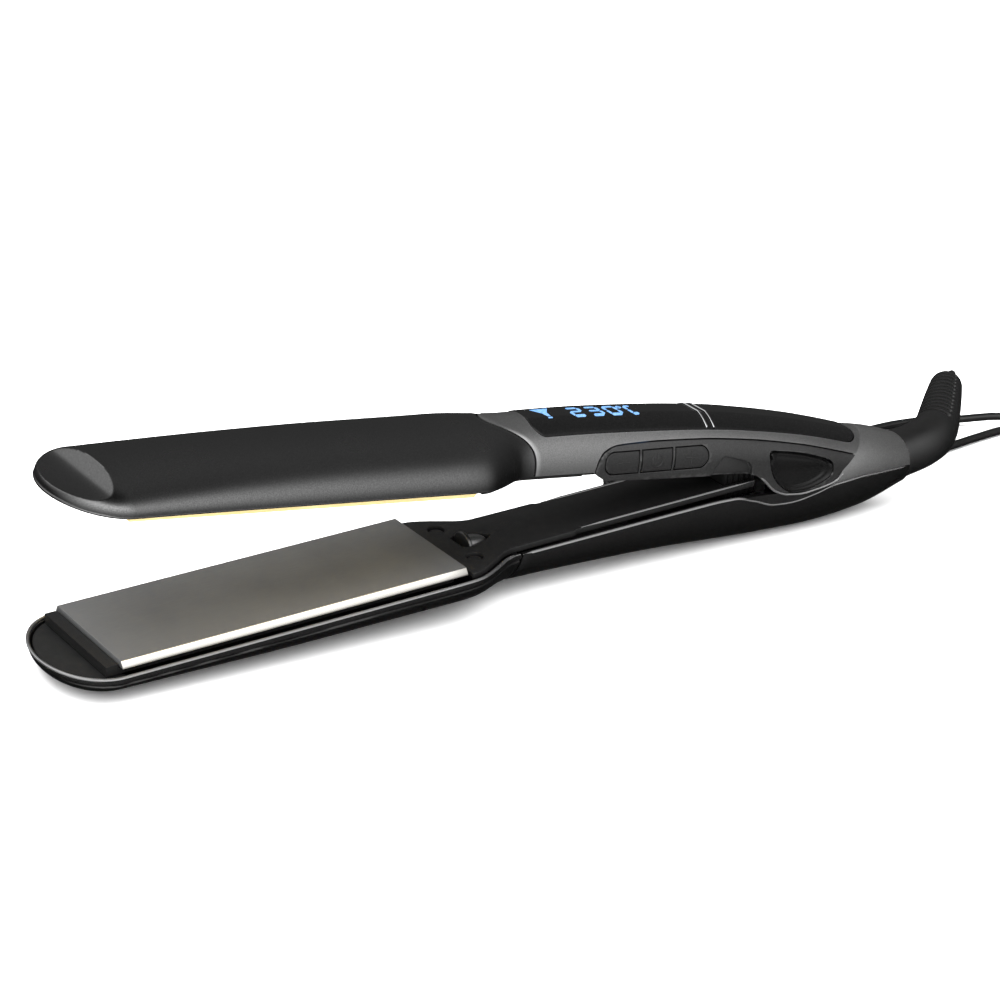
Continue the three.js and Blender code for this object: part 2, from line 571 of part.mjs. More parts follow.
// ---- cord, in the part's own frame with the table at z = 0 ---------------------------------------
const CORD_ROUTE = [
  [201.5, 26.4, 24.6], [206, 30.5, 25], [210.6, 34.7, 22.4], [213, 37.6, 16.4], [211.6, 39.4, 9.6],
  [206.4, 40.8, 4], [197.6, 41.6, 1.8], [188.4, 41, 1.5], [180.6, 37.6, 1.5], [177.4, 31, 1.5],
  [181, 24.6, 1.5], [189.6, 22, 1.5], [200, 22.8, 1.5], [214, 25, 1.5], [230, 27, 1.5], [246, 27.8, 1.5],
  [262, 27, 1.5], [276, 23.8, 1.6], [286, 16, 2.2], [289, 5, 3], [284, -5.4, 4], [273, -9.6, 4.8],
  [262.4, -5, 5], [253.6, 5.6, 5], [247, 15.6, 5], [240.6, 24.6, 5.2], [233, 32.4, 4.4], [223, 40.6, 2],
  [211, 45.8, 1.5], [197.6, 47.4, 1.5], [184, 46.8, 1.5], [168, 46.2, 1.5], [152, 46.4, 1.5],
  [138, 46.2, 1.5], [125.1, 45, 1.5],
];
function cordTube() {
  const places = CORD_ROUTE.map((p) => new THREE.Vector3(...p));
  const path = new THREE.CatmullRomCurve3(places, false, 'centripetal');
  const section = new THREE.Shape().absarc(0, 0, CORD.diameter / 2, 0, 2 * Math.PI);
  return new THREE.ExtrudeGeometry(section, {
    steps: CORD.steps, curveSegments: CORD.sides / 2, bevelEnabled: false, extrudePath: path,
  });
}
const HANK = { x0: 66, x1: 127, y: 36, width: 27, height: 12 };
const PLUG = { x: 125.5, y: 27, z: 6.3, neckZ: 9.8, neck: 2.1, length: 26, half: 11, thickness: 11.4 };
const BLADE = { length: 16, thickness: 1.5, height: 6.3, spacing: 12.7 };
function stadium(x0, x1, y, width) {
  const r = width / 2;
  const shape = new THREE.Shape();
  shape.absarc(x1 - r, y, r, -Math.PI / 2, Math.PI / 2, false);
  shape.absarc(x0 + r, y, r, Math.PI / 2, (3 * Math.PI) / 2, false);
  return shape;
}
const hankBody = () => prismZ(stadium(HANK.x0, HANK.x1, HANK.y, HANK.width), 0.3, HANK.height);
function hankTie() {
  const x = (HANK.x0 + HANK.x1) / 2;
  const [y0, y1] = [HANK.y - HANK.width / 2, HANK.y + HANK.width / 2];
  const inner = box(x - 9, x + 9, y0 - 0.3, y1 + 0.3, 0, HANK.height + 0.3);
  return cut(box(x - 5, x + 5, y0 - 1.5, y1 + 1.5, 0.05, HANK.height + 1.5), inner);
}

// Moulded two-blade plug that lies at the end of the hank.
function plugBody() {
  const ring = (x, z, halfWidth, halfHeight) => spread(0, 2 * Math.PI, 25).slice(0, -1).map((a) => {
    const [c, d] = [Math.cos(a), Math.sin(a)];
    const boxy = 1 / Math.max(Math.abs(c), Math.abs(d)) ** 0.6;
    return new THREE.Vector3(PLUG.x + x, PLUG.y + halfWidth * c * boxy, z + halfHeight * d * boxy);
  });
  const { z, neckZ, neck, length, half: wide, thickness } = PLUG;
  return loft([
    ring(0, neckZ, neck, neck),
    ring(6, neckZ - 0.8, 3, 2.9),
    ring(9.5, neckZ - 2, 5.6, 4),
    ring(12.5, z + 0.6, 9, 5),
    ring(15.5, z, wide - 0.6, thickness / 2),
    ring(length - 1, z, wide, thickness / 2),
    ring(length, z, wide - 0.8, thickness / 2 - 0.8),
  ]);
}
function plugBlade(hand) {
  const x = PLUG.x + PLUG.length + GAP;
  const y = PLUG.y + (hand * BLADE.spacing) / 2;
  const [dy, dz] = [BLADE.thickness / 2, BLADE.height / 2];
  return box(x, x + BLADE.length, y - dy, y + dy, PLUG.z - dz, PLUG.z + dz);
}

// ---- build ---------------------------------------------------------------------------------------
// Flat lands ground level with the table, so that the lower arm stands on two faces.
const standMatrix = new THREE.Matrix4().makeRotationY(THREE.MathUtils.degToRad(STAND_TILT))
  .setPosition(-MID_LENGTH, 0, STAND_HEIGHT);
const STAND_CUT = box(-200, 250, -40, 40, -30, 0).applyMatrix4(standMatrix.clone().invert());

const iron = new THREE.Group();
const stand = new THREE.Group();
stand.rotation.y = THREE.MathUtils.degToRad(STAND_TILT);
stand.position.set(-MID_LENGTH, 0, STAND_HEIGHT);
const lowerArm = new THREE.Group();
const upperArm = new THREE.Group();
upperArm.rotation.y = openRadians;
upperArm.position.set(HINGE.x, 0, HINGE.z);
const upperParts = new THREE.Group();
upperParts.position.set(-HINGE.x, 0, -HINGE.z);
upperArm.add(upperParts);
stand.add(lowerArm, upperArm);
iron.add(stand);

function add(parent, name, geometry, material) {
  const mesh = new THREE.Mesh(geometry, new THREE.MeshStandardMaterial(material));
  mesh.name = name;
  parent.add(mesh);
}

const barrelOpening = -4.6;
for (const [side, prefix, parent, plateFinish] of [
  [-1, 'lower', lowerArm, FINISH.titanium],
  [1, 'upper', upperParts, FINISH.gold],
]) {
  const unit = plateUnit(side, prefix, plateFinish);
  [...unit.moving, ...unit.fixed].forEach(([name, geometry, material]) => {
    add(parent, name, geometry, material);
  });
}
const lowerBarrel = cut(barrelShell(LOWER, LOWER_SEAM, barrelOpening), STAND_CUT);
add(lowerArm, 'lower_front_shell', lowerBarrel, FINISH.shell);
add(lowerArm, 'lower_inner_cover', innerCover(-1, -2.3, 213), FINISH.inner);
COVER_SCREWS.forEach(({ x, y }, i) => {
  add(lowerArm, `lower_cover_screw_${i + 1}`, screw(x, y, -3.2, -1), FINISH.steel);
  add(upperParts, `upper_cover_screw_${i + 1}`, screw(x, y, 1.8, 1), FINISH.steel);
});
add(lowerArm, 'ozone_outlet', ozoneOutlet(), FINISH.inner);
add(lowerArm, 'ozone_cone', ozoneCone(), FINISH.steel);
add(lowerArm, 'ozone_generator', box(150, 180, -6.5, 6.5, -12.4, -6.4), FINISH.inner);
add(lowerArm, 'lower_handle_shell', lowerHandleShell(), FINISH.shell);
UNDERSIDE_SCREWS.forEach(({ x, y }, i) => {
  const seat = lowerCrown(x) + 1.2;
  add(lowerArm, `underside_screw_${i + 1}`, screw(x, y, seat, 1), FINISH.steel);
});
add(lowerArm, 'tail_cover', tailCover(), FINISH.satin);
add(lowerArm, 'mains_terminal', box(262, 275, -6, 6, -17, -10), FINISH.ceramic);
add(lowerArm, 'hinge_bracket', hingeBracket(), FINISH.steel);
const hingePin = rodY(HINGE.x, HINGE.z, HINGE.pinRadius, -HINGE.pinHalf, HINGE.pinHalf);
add(lowerArm, 'hinge_pin', hingePin, FINISH.steel);
add(lowerArm, 'hinge_spring', hingeSpring(), FINISH.steel);
add(lowerArm, 'hinge_boot', box(215.5, 229, -8, 8, -9, 3.4), FINISH.rubber);
add(lowerArm, 'swivel_bush', swivelBush(), FINISH.ceramic);
add(lowerArm, 'cord_elbow', cordElbow(), FINISH.rubber);

add(upperParts, 'upper_front_shell', barrelShell(UPPER, FRONT_SEAM, barrelOpening), FINISH.shell);
add(upperParts, 'upper_inner_cover', innerCover(1, 0.9, 212), FINISH.inner);
add(upperParts, 'upper_handle_shell', upperHandleShell(), FINISH.satin);
add(upperParts, 'display_cover', coverBody(0, 1.6, 0, COVER.start, COVER.band - GAP), FINISH.gloss);
const bandEnd = COVER.band + COVER.bandWidth;
add(upperParts, 'trim_band', coverBody(-0.1, 1.6, 0, COVER.band, bandEnd), FINISH.chrome);
add(upperParts, 'rear_cover', coverBody(0, 1.6, 0, bandEnd + GAP, COVER.end), FINISH.gloss);
add(upperParts, 'display_module', box(141, 184, -6, 6, 12.2, 14.2), FINISH.board);
add(upperParts, 'side_panel_near', sidePanel(-1), FINISH.satin);
add(upperParts, 'side_panel_far', sidePanel(1), FINISH.satin);
add(upperParts, 'hinge_cap_near', hingeCap(-1), FINISH.gloss);
add(upperParts, 'hinge_cap_far', hingeCap(1), FINISH.gloss);
BUTTONS.forEach((button) => {
  add(upperParts, button.name, buttonBody(button), FINISH.satin);
  const middle = (button.x0 + button.x1) / 2;
  const domeSwitch = box(middle - 3, middle + 3, -9.9, -8, 3.2, 7.2);
  add(upperParts, button.name.replace('button', 'switch'), domeSwitch, FINISH.steel);
});
add(upperParts, 'control_board', box(160, 210, -7.7, -6.1, 3.4, 11.4), FINISH.board);

add(iron, 'cord', cordTube(), FINISH.rubber);
add(iron, 'cord_hank', hankBody(), FINISH.rubber);
add(iron, 'hank_tie', hankTie(), FINISH.rubber);
add(iron, 'plug_body', plugBody(), FINISH.rubber);
[-1, 1].forEach((hand, i) => add(iron, `plug_blade_${i + 1}`, plugBlade(hand), FINISH.brass));

export default iron;
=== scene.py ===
"""Flat iron: fine shells, plates, controls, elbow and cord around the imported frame."""

import json
import math

import bmesh
import bpy
import numpy as np
from mathutils import Matrix, Vector


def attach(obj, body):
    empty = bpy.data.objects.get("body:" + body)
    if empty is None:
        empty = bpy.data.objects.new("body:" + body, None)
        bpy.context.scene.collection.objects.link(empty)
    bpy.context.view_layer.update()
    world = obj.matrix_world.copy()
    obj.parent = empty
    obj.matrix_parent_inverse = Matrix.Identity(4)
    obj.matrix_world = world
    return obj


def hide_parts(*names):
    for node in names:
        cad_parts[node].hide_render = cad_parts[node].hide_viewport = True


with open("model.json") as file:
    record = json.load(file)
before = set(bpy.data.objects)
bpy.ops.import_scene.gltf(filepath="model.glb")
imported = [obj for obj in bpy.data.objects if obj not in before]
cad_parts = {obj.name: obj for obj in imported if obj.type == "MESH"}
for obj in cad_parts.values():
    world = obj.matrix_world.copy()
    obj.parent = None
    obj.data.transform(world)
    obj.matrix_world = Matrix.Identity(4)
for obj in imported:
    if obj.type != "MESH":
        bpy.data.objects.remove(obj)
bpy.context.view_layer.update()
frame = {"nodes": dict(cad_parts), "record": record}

# ---- places and sizes ----
# The arms are drawn in millimetres in their own frames, as the CAD does: x from the front of the
# plates to the tail, z = 0 where the closed plates meet. place() turns them into metres.
MM = 0.001
STAND_TILT = math.radians(-3.108)
STAND_HEIGHT = 12.14
MID_LENGTH = 139.27
OPEN_ANGLE = math.radians(9.73)
HINGE = (241.0, -2.0)
NOSE_LENGTH = 15.5
WALL = 1.8
GAP = 0.35
SEAM = 0.7
RIM_SHARE = 0.12  # share of a section between a rim and its springing line
LIP_LENGTH, LIP_DEPTH = 0.5, 0.25
PLATE_LENGTH = 112.0
PLATE_HALF = 19.5
PLATE_THICKNESS = 2.2
FRONT_SEAM = {"rim": 136.6, "lean": 13.0, "power": 4}
LOWER_SEAM = {"rim": 135.6, "lean": 3.0, "power": 1}
TAIL_END = 293.0
TAIL_AXIS = {"z": -13.0, "slope": 0.117}
COVER = {"start": 138.2, "end": 269.6, "half": 9.5, "crease": 3.6, "front_round": 4.2, "rear_round": 7.2,
         "band": 203.2, "band_width": 3.4}
CORD = {"diameter": 2.8, "length": 1.9}


def through(stations):
    """A smooth curve through a few stations that never overshoots them."""
    xs, ys = np.array(stations, float).T
    slopes = np.diff(ys) / np.diff(xs)
    before = np.concatenate([slopes[:1], slopes])
    after = np.concatenate([slopes, slopes[-1:]])
    total = np.where(before * after > 0, before + after, 1)
    tangents = np.where(before * after > 0, 2 * before * after / total, 0)

    def curve(x):
        x = np.clip(np.asarray(x, float), xs[0], xs[-1])
        i = np.clip(np.searchsorted(xs, x, side="right") - 1, 0, len(xs) - 2)
        step = xs[i + 1] - xs[i]
        t = (x - xs[i]) / step
        rise = ys[i + 1] - ys[i]
        m0, m1 = tangents[i] * step, tangents[i + 1] * step
        return ys[i] + t * (m0 + t * (3 * rise - 2 * m0 - m1 + t * (m0 + m1 - 2 * rise)))

    return curve


def nose(x):
    return np.where(x < 0, np.sqrt(np.maximum(0, 1 - (np.minimum(x, 0) / NOSE_LENGTH) ** 2)), 1)


handle_half = through([
    (108, 22.6), (113, 22.4), (116.5, 21.9), (119.6, 20.7), (123, 18.9), (126.6, 16.8), (130.4, 14.7),
    (134, 13.9), (150, 13.8), (245, 13.8), (262, 13.2), (275, 12), (286, 10.2), (TAIL_END, 8.8),
])
lower_spring = through([
    (140, -4.5), (205, -4.9), (222, -6), (240, -8), (256, -9.7), (275, -11.6), (TAIL_END, -13),
])
lower_crown = through([
    (0, -12.4), (22, -13.6), (56, -15), (92, -15.5), (118, -16), (145, -17.2), (172, -19), (193, -20.7),
    (210, -22.6), (233, -24.9), (257, -26.3), (274, -25.6), (TAIL_END, -21.8),
])
lower_rim = through([
    (113, -4), (140, -4.4), (206, -4.7), (216, -5.2), (224, -7.6), (232, -10.7), (241, -11.6), (249, -10.9),
    (257, -9.9), (267, -10), (277.5, -11), (285, -12), (TAIL_END, -13.1),
])
upper_spring = through([(0, 3.1), (200, 3.4), (230, 2.2), (262, -1)])
upper_crown = through([
    (0, 10.8), (11, 11.8), (40, 13.9), (72, 15.4), (106, 16.2), (135, 17.4), (160, 18), (187, 17.6),
    (211, 16.4), (224, 15.1), (242, 12.8), (262, 9.3), (270, 7.6),
])
upper_rim = through([
    (0, 2.5), (20, 2.7), (104, 2.9), (158.9, 2.9), (160.4, 1.8), (164.2, -0.1), (177, -0.5), (200, -0.8),
    (218, -1.1), (222.6, -1.6), (227.1, -3.9), (233.2, -8.1), (238.5, -9.4), (243, -9.5), (250, -8.4),
    (258, -6.2), (263, -2.5), (267, -1.2),
])
collar_crown = through([(262, 4.4), (272, 2.7), (280, 0.6), (286, -1.6), (TAIL_END, -4.6)])
tip_scoop = through([
    (-15.5, 4.9), (-12.2, 5.2), (-9.4, 5.7), (-5.6, 7), (-3.8, 8.4), (-1.7, 10.8), (0.5, 14),
])


def half(x):
    return handle_half(x) * nose(x)


def arm_form(side, spring, crown, rim):
    full_crown = lambda x: spring(x) + (crown(x) - spring(x)) * nose(x)
    return {"side": side, "spring": spring, "crown": full_crown, "rim": rim}


LOWER = arm_form(-1, lower_spring, lower_crown, lower_rim)
UPPER = arm_form(1, upper_spring, upper_crown, upper_rim)
COLLAR = arm_form(1, lambda x: lower_rim(x) + GAP, collar_crown, lambda x: lower_rim(x) + GAP)


def at_angle(arm, x, phi, inset=0.0):
    """Points of the section at angle phi, 0 on the near side and pi on the far side."""
    rise = arm["crown"](x) - arm["spring"](x) - arm["side"] * inset
    y = -np.maximum(0, half(x) - inset) * np.cos(phi)
    return np.stack(np.broadcast_arrays(x, y, arm["spring"](x) + rise * np.sin(phi)), -1)


def around(arm, x, v, inset=0.0):
    """Points round the whole section: v runs 0..1 from the near rim over the crown to the far rim."""
    low = arm["rim"](x)
    spring = arm["spring"](x)
    phi = np.clip((v - RIM_SHARE) / (1 - 2 * RIM_SHARE), 0, 1) * math.pi
    point = at_angle(arm, x, phi, inset)
    down = np.maximum(np.clip(1 - v / RIM_SHARE, 0, 1), np.clip((v - 1 + RIM_SHARE) / RIM_SHARE, 0, 1))
    point[..., 2] += (low - spring) * down
    return point


def turned(points, angle, x0=0.0, z0=0.0):
    c, s = math.cos(angle), math.sin(angle)
    x, z = points[..., 0] - x0, points[..., 2] - z0
    return np.stack([x0 + x * c + z * s, points[..., 1], z0 + z * c - x * s], -1)


def place(points, frame_name):
    """Arm millimetres to metres in the CAD frame. "table" points are in that frame already."""
    points = np.asarray(points, float)
    if frame_name == "upper":
        points = turned(points, OPEN_ANGLE, *HINGE)
    if frame_name in ("upper", "lower"):
        points = turned(points, STAND_TILT) + np.array([-MID_LENGTH, 0, STAND_HEIGHT])
        points[..., 2] = np.maximum(points[..., 2], 0)
    return points * MM


# ---- mesh tools ----
def link(thing):
    bpy.context.scene.collection.objects.link(thing)


HOME_BODIES = {"upper": "upper_arm", "lower": "lower_arm", "table": "lower_arm"}


def new_piece(name, points, faces, frame_name, material, body=None, sharp=35.0):
    """A mesh object that rides on its frame's arm or on the body given. With no material it is a helper."""
    mesh = bpy.data.meshes.new(name)
    mesh.from_pydata([tuple(p) for p in place(np.reshape(points, (-1, 3)), frame_name)], [], faces)
    mesh.validate()
    piece = bpy.data.objects.new(name, mesh)
    link(piece)
    tidy_mesh(mesh, sharp)
    if material:
        mesh.materials.append(material)
        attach(piece, body or HOME_BODIES[frame_name])
    return piece


def tidy_mesh(mesh, sharp):
    """Merges doubled points, points every face outward and marks the sharp edges."""
    work = bmesh.new()
    work.from_mesh(mesh)
    bmesh.ops.remove_doubles(work, verts=work.verts, dist=2e-6)
    bmesh.ops.dissolve_degenerate(work, edges=work.edges, dist=1e-6)
    bmesh.ops.recalc_face_normals(work, faces=work.faces)
    work.to_mesh(mesh)
    work.free()
    mesh.shade_smooth()
    mesh.set_sharp_from_angle(angle=math.radians(sharp))


def grid_faces(rows, columns, start=0, flip=False, close=False):
    faces = []
    for r in range(rows - 1):
        for c in range(columns if close else columns - 1):
            a, b = start + r * columns + c, start + r * columns + (c + 1) % columns
            quad = (a, b, b + columns, a + columns)
            faces.append(quad[::-1] if flip else quad)
    return faces


def slab(outer, inner):
    """Points and faces of a sheet with thickness, from matching grids of its two sides."""
    rows, columns = outer.shape[:2]
    count = rows * columns
    points = np.concatenate([outer.reshape(-1, 3), inner.reshape(-1, 3)])
    faces = grid_faces(rows, columns) + grid_faces(rows, columns, count, flip=True)
    edge = [c for c in range(columns)] + [r * columns + columns - 1 for r in range(1, rows)]
    edge += [count - 2 - c for c in range(columns - 1)] + [r * columns for r in range(rows - 2, 0, -1)]
    for a, b in zip(edge, edge[1:] + edge[:1]):
        faces.append((b, a, a + count, b + count))
    return points, faces


def rings(rows, close_ends=True):
    """Points and faces of a closed skin over rings of equal point count."""
    rows = np.asarray(rows)
    count, columns = rows.shape[:2]
    faces = grid_faces(count, columns, close=True)
    if close_ends:
        faces.append(tuple(range(columns))[::-1])
        faces.append(tuple((count - 1) * columns + c for c in range(columns)))
    return rows.reshape(-1, 3), faces


def tube(path, radius, sides=24, shape=None):
    """Rings along a path with a steady frame. shape(t, angle) may change the radius."""
    path = np.asarray(path, float)
    steps = np.gradient(path, axis=0)
    steps /= np.linalg.norm(steps, axis=1)[:, None]
    side = np.cross(steps[0], [0, 0, 1.0])
    if np.linalg.norm(side) < 1e-3:
        side = np.array([0, 1.0, 0])
    rows = []
    angles = np.linspace(0, 2 * math.pi, sides, endpoint=False)
    radius = np.broadcast_to(radius, len(path))
    for i, (point, ahead) in enumerate(zip(path, steps)):
        side = side - ahead * side.dot(ahead)
        side /= np.linalg.norm(side)
        up = np.cross(side, ahead)
        r = radius[i] * (shape(i / (len(path) - 1), angles) if shape else np.ones(sides))
        rows.append(point + np.outer(r * np.cos(angles), side) + np.outer(r * np.sin(angles), up))
    return rings(rows)


def prism(outline, low, high, axis):
    """Straight prism over a closed outline, along "y" (outline in x, z) or "z" (outline in x, y)."""
    outline = np.asarray(outline, float)
    place_of_level = 1 if axis == "y" else 2
    return rings([np.insert(outline, place_of_level, float(level), axis=1) for level in (low, high)])


def rounded(piece, width, segments=3, angle=40):
    bevel = piece.modifiers.new("edges", "BEVEL")
    bevel.width = width * MM
    bevel.segments = segments
    bevel.limit_method = "ANGLE"
    bevel.angle_limit = math.radians(angle)
    settle(piece)
    return piece


def finish(piece, slot, *nodes):
    """Hides the CAD nodes that the piece stands for. The slot argument is not used."""
    if nodes:
        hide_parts(*nodes)
    return piece


def block(outline, low, high, axis, frame_name="upper"):
    """Cutting solid for carve."""
    return (*prism(outline, *sorted((low, high)), axis), frame_name)


def merged(parts):
    """One list of points and one of faces from several."""
    points, faces = [], []
    for more, more_faces in parts:
        faces += [tuple(i + len(points) for i in face) for face in more_faces]
        points += list(more)
    return points, faces


def settle(piece, sharp=35.0):
    """Applies the piece's modifiers to its mesh."""
    graph = bpy.context.evaluated_depsgraph_get()
    mesh = bpy.data.meshes.new_from_object(piece.evaluated_get(graph))
    piece.modifiers.clear()
    old = piece.data
    piece.data = mesh
    bpy.data.meshes.remove(old)
    tidy_mesh(mesh, sharp)


def carve(piece, cutters, keep=False, sharp=35.0):
    """Cuts (points, faces, frame name) solids from a piece, or keeps only what lies in them."""
    helpers = []
    for points, faces, frame_name in cutters:
        helper = new_piece("cutter", points, faces, frame_name, None)
        helpers.append(helper)
        boolean = piece.modifiers.new("cut", "BOOLEAN")
        boolean.operation = "INTERSECT" if keep else "DIFFERENCE"
        boolean.solver = "EXACT"
        boolean.object = helper
    settle(piece, sharp)
    for helper in helpers:
        bpy.data.meshes.remove(helper.data)
    return piece


def arc(center, radius, start, end, count):
    angles = np.linspace(math.radians(start), math.radians(end), count)
    return [(center[0] + radius * math.cos(a), center[1] + radius * math.sin(a)) for a in angles]


def smooth_loop(corners, count=8):
    """Closed Catmull-Rom loop through corner points."""
    corners = np.asarray(corners, float)
    out = []
    for i in range(len(corners)):
        p0, p1, p2, p3 = (corners[(i + k) % len(corners)] for k in (-1, 0, 1, 2))
        for t in np.linspace(0, 1, count, endpoint=False):
            out.append(0.5 * (2 * p1 + (p2 - p0) * t + (2 * p0 - 5 * p1 + 4 * p2 - p3) * t * t
                              + (3 * p1 - p0 - 3 * p2 + p3) * t ** 3))
    return np.array(out)


def smooth_path(points, spacing=1.0):
    """Open centripetal Catmull-Rom path through points, evenly spaced."""
    points = np.asarray(points, float)
    points = np.vstack([2 * points[0] - points[1], points, 2 * points[-1] - points[-2]])
    fine = []
    for i in range(1, len(points) - 2):
        p0, p1, p2, p3 = points[i - 1:i + 3]
        knots = np.concatenate([[0], np.cumsum([np.linalg.norm(b - a) ** 0.5
                                                for a, b in ((p0, p1), (p1, p2), (p2, p3))])])
        mix = lambda a, b, i, j, t: ((knots[j] - t) * a + (t - knots[i]) * b) / (knots[j] - knots[i])
        for t in np.linspace(knots[1], knots[2], 24, endpoint=False):
            a1, a2, a3 = mix(p0, p1, 0, 1, t), mix(p1, p2, 1, 2, t), mix(p2, p3, 2, 3, t)
            fine.append(mix(mix(a1, a2, 0, 2, t), mix(a2, a3, 1, 3, t), 1, 2, t))
    fine.append(points[-2])
    return evenly(np.array(fine), spacing)


def evenly(path, spacing):
    along = np.concatenate([[0], np.cumsum(np.linalg.norm(np.diff(path, axis=0), axis=1))])
    marks = np.linspace(0, along[-1], max(2, int(round(along[-1] / spacing)) + 1))
    return np.stack([np.interp(marks, along, path[:, k]) for k in range(3)], -1)


def path_length(path):
    return float(np.linalg.norm(np.diff(path, axis=0), axis=1).sum())


# ---- materials ----
class Nodes:
    """Small helper over one material's node tree."""

    def __init__(self, name):
        self.material = bpy.data.materials.new(name)
        self.material.use_nodes = True
        self.tree = self.material.node_tree
        self.shader = self.tree.nodes["Principled BSDF"]
        self.at = self.node("ShaderNodeTexCoord").outputs["Object"]

    def node(self, kind, **inputs):
        node = self.tree.nodes.new(kind)
        for key, value in inputs.items():
            self.feed(node.inputs[key.replace("_", " ")], value)
        return node

    def feed(self, socket, value):
        if isinstance(value, bpy.types.NodeSocket):
            self.tree.links.new(value, socket)
        else:
            socket.default_value = value

    def noise(self, size, detail=3.0, stretch=(1, 1, 1), roughness=0.5):
        """Noise whose grains are about `size` millimetres, drawn out along an axis by stretch."""
        mapping = self.node("ShaderNodeMapping", Vector=self.at)
        mapping.inputs["Scale"].default_value = [1 / (size * MM * s) for s in stretch]
        noise = self.node("ShaderNodeTexNoise", Vector=mapping.outputs["Vector"])
        noise.inputs["Scale"].default_value = 1.0
        noise.inputs["Detail"].default_value = detail
        noise.inputs["Roughness"].default_value = roughness
        return noise.outputs["Fac"]

    def span(self, factor, low, high, start=0.3, end=0.7):
        ramp = self.node("ShaderNodeMapRange", Value=factor)
        for key, value in (("From Min", start), ("From Max", end), ("To Min", low), ("To Max", high)):
            ramp.inputs[key].default_value = value
        return ramp.outputs["Result"]

    def colours(self, factor, low, high):
        mix = self.tree.nodes.new("ShaderNodeMix")
        mix.data_type = "RGBA"
        self.feed(mix.inputs[0], factor)
        mix.inputs[6].default_value = (*low, 1)
        mix.inputs[7].default_value = (*high, 1)
        return mix.outputs[2]

    def painted_edge_highlight(self, colour, light, strength=0.5):
        """Painted highlight: lighter where the surface is a sharp outer edge."""
        edge = self.node("ShaderNodeNewGeometry").outputs["Pointiness"]
        mix = self.tree.nodes.new("ShaderNodeMix")
        mix.data_type = "RGBA"
        self.feed(mix.inputs[0], self.span(edge, 0.0, strength, 0.52, 0.6))
        self.feed(mix.inputs[6], colour)
        mix.inputs[7].default_value = (*light, 1)
        return mix.outputs[2]

    def bump(self, height, strength, distance):
        bump = self.node("ShaderNodeBump", Height=height)
        bump.inputs["Strength"].default_value = strength
        bump.inputs["Distance"].default_value = distance * MM
        self.feed(self.shader.inputs["Normal"], bump.outputs["Normal"])

    def set(self, **inputs):
        for key, value in inputs.items():
            self.feed(self.shader.inputs[key.replace("_", " ")], value)
        return self.material


def grey(value, warmth=0.0):
    return (value * (1 + warmth), value, value * (1 - warmth))


def lacquer(name, value, flake, metallic, rough):
    """Satin lacquer with metal flake, a soft orange peel and a painted highlight on sharp edges."""
    n = Nodes(name)
    sparkle = n.noise(0.35, 2)
    cloud = n.noise(30, 4)
    colour = n.colours(n.span(sparkle, 0, 1, 0.35, 0.7), grey(value * (1 - flake)), grey(value * (1 + flake)))
    n.bump(n.noise(0.9, 2), 0.06, 0.05)
    # The base colour carries a painted highlight on sharp outer edges.
    return n.set(Base_Color=n.painted_edge_highlight(colour, grey(value * 2.2), 0.35), Metallic=metallic,
                 Roughness=n.span(cloud, rough - 0.03, rough + 0.04))


def spark_plastic(name, value, grain, rough, warmth=0.0, depth=0.12, gloss=0.22):
    """Moulded plastic or rubber with a fine eroded texture."""
    n = Nodes(name)
    n.bump(n.noise(grain, 4, roughness=0.65), 0.35, depth)
    dark, light = grey(value * 0.85, warmth), grey(value * 1.2, warmth)
    colour = n.colours(n.span(n.noise(grain * 6, 4), 0, 1), dark, light)
    # The base colour carries a painted highlight on sharp outer edges.
    return n.set(Base_Color=n.painted_edge_highlight(colour, grey(value * 2.4), 0.3), Specular_IOR_Level=gloss,
                 Roughness=n.span(n.noise(14, 3), rough - 0.05, rough + 0.06))


def polished_black(name):
    n = Nodes(name)
    n.bump(n.noise(7, 2), 0.03, 0.05)
    smudge = n.span(n.noise(16, 5), 0.05, 0.12, 0.45, 0.75)
    colour = n.colours(n.span(n.noise(0.6, 2), 0, 1), grey(0.0028), grey(0.0045))
    return n.set(Base_Color=colour, Roughness=smudge, Specular_IOR_Level=0.22)


def coated_metal(name, low, high, rough, stretch, metallic=1.0):
    """Polished or brushed metal whose grain runs along the arm."""
    n = Nodes(name)
    grain = n.noise(0.25, 3, stretch)
    n.bump(grain, 0.05, 0.02)
    colour = n.colours(n.span(n.noise(18, 3), 0, 1), low, high)
    return n.set(Base_Color=colour, Metallic=metallic,
                 Roughness=n.span(grain, rough - 0.03, rough + 0.04))


def lit(name):
    """Display segments that glow through the dark window, with a faint dot pattern."""
    n = Nodes(name)
    glow = n.colours(n.span(n.noise(0.5, 2), 0, 1), (0.1, 0.3, 0.75), (0.35, 0.62, 1.0))
    return n.set(Base_Color=n.colours(0.5, (0.02, 0.05, 0.1), (0.03, 0.07, 0.14)), Roughness=0.3,
                 Emission_Color=glow, Emission_Strength=1.1)


SHELL = lacquer("shell", 0.17, 0.16, 1.0, 0.25)
LOWER_PAINT = lacquer("lower_shell", 0.05, 0.16, 0.95, 0.3)
HANDLE = lacquer("handle", 0.27, 0.14, 0.95, 0.34)
COLLAR_PAINT = lacquer("collar", 0.34, 0.14, 0.95, 0.32)
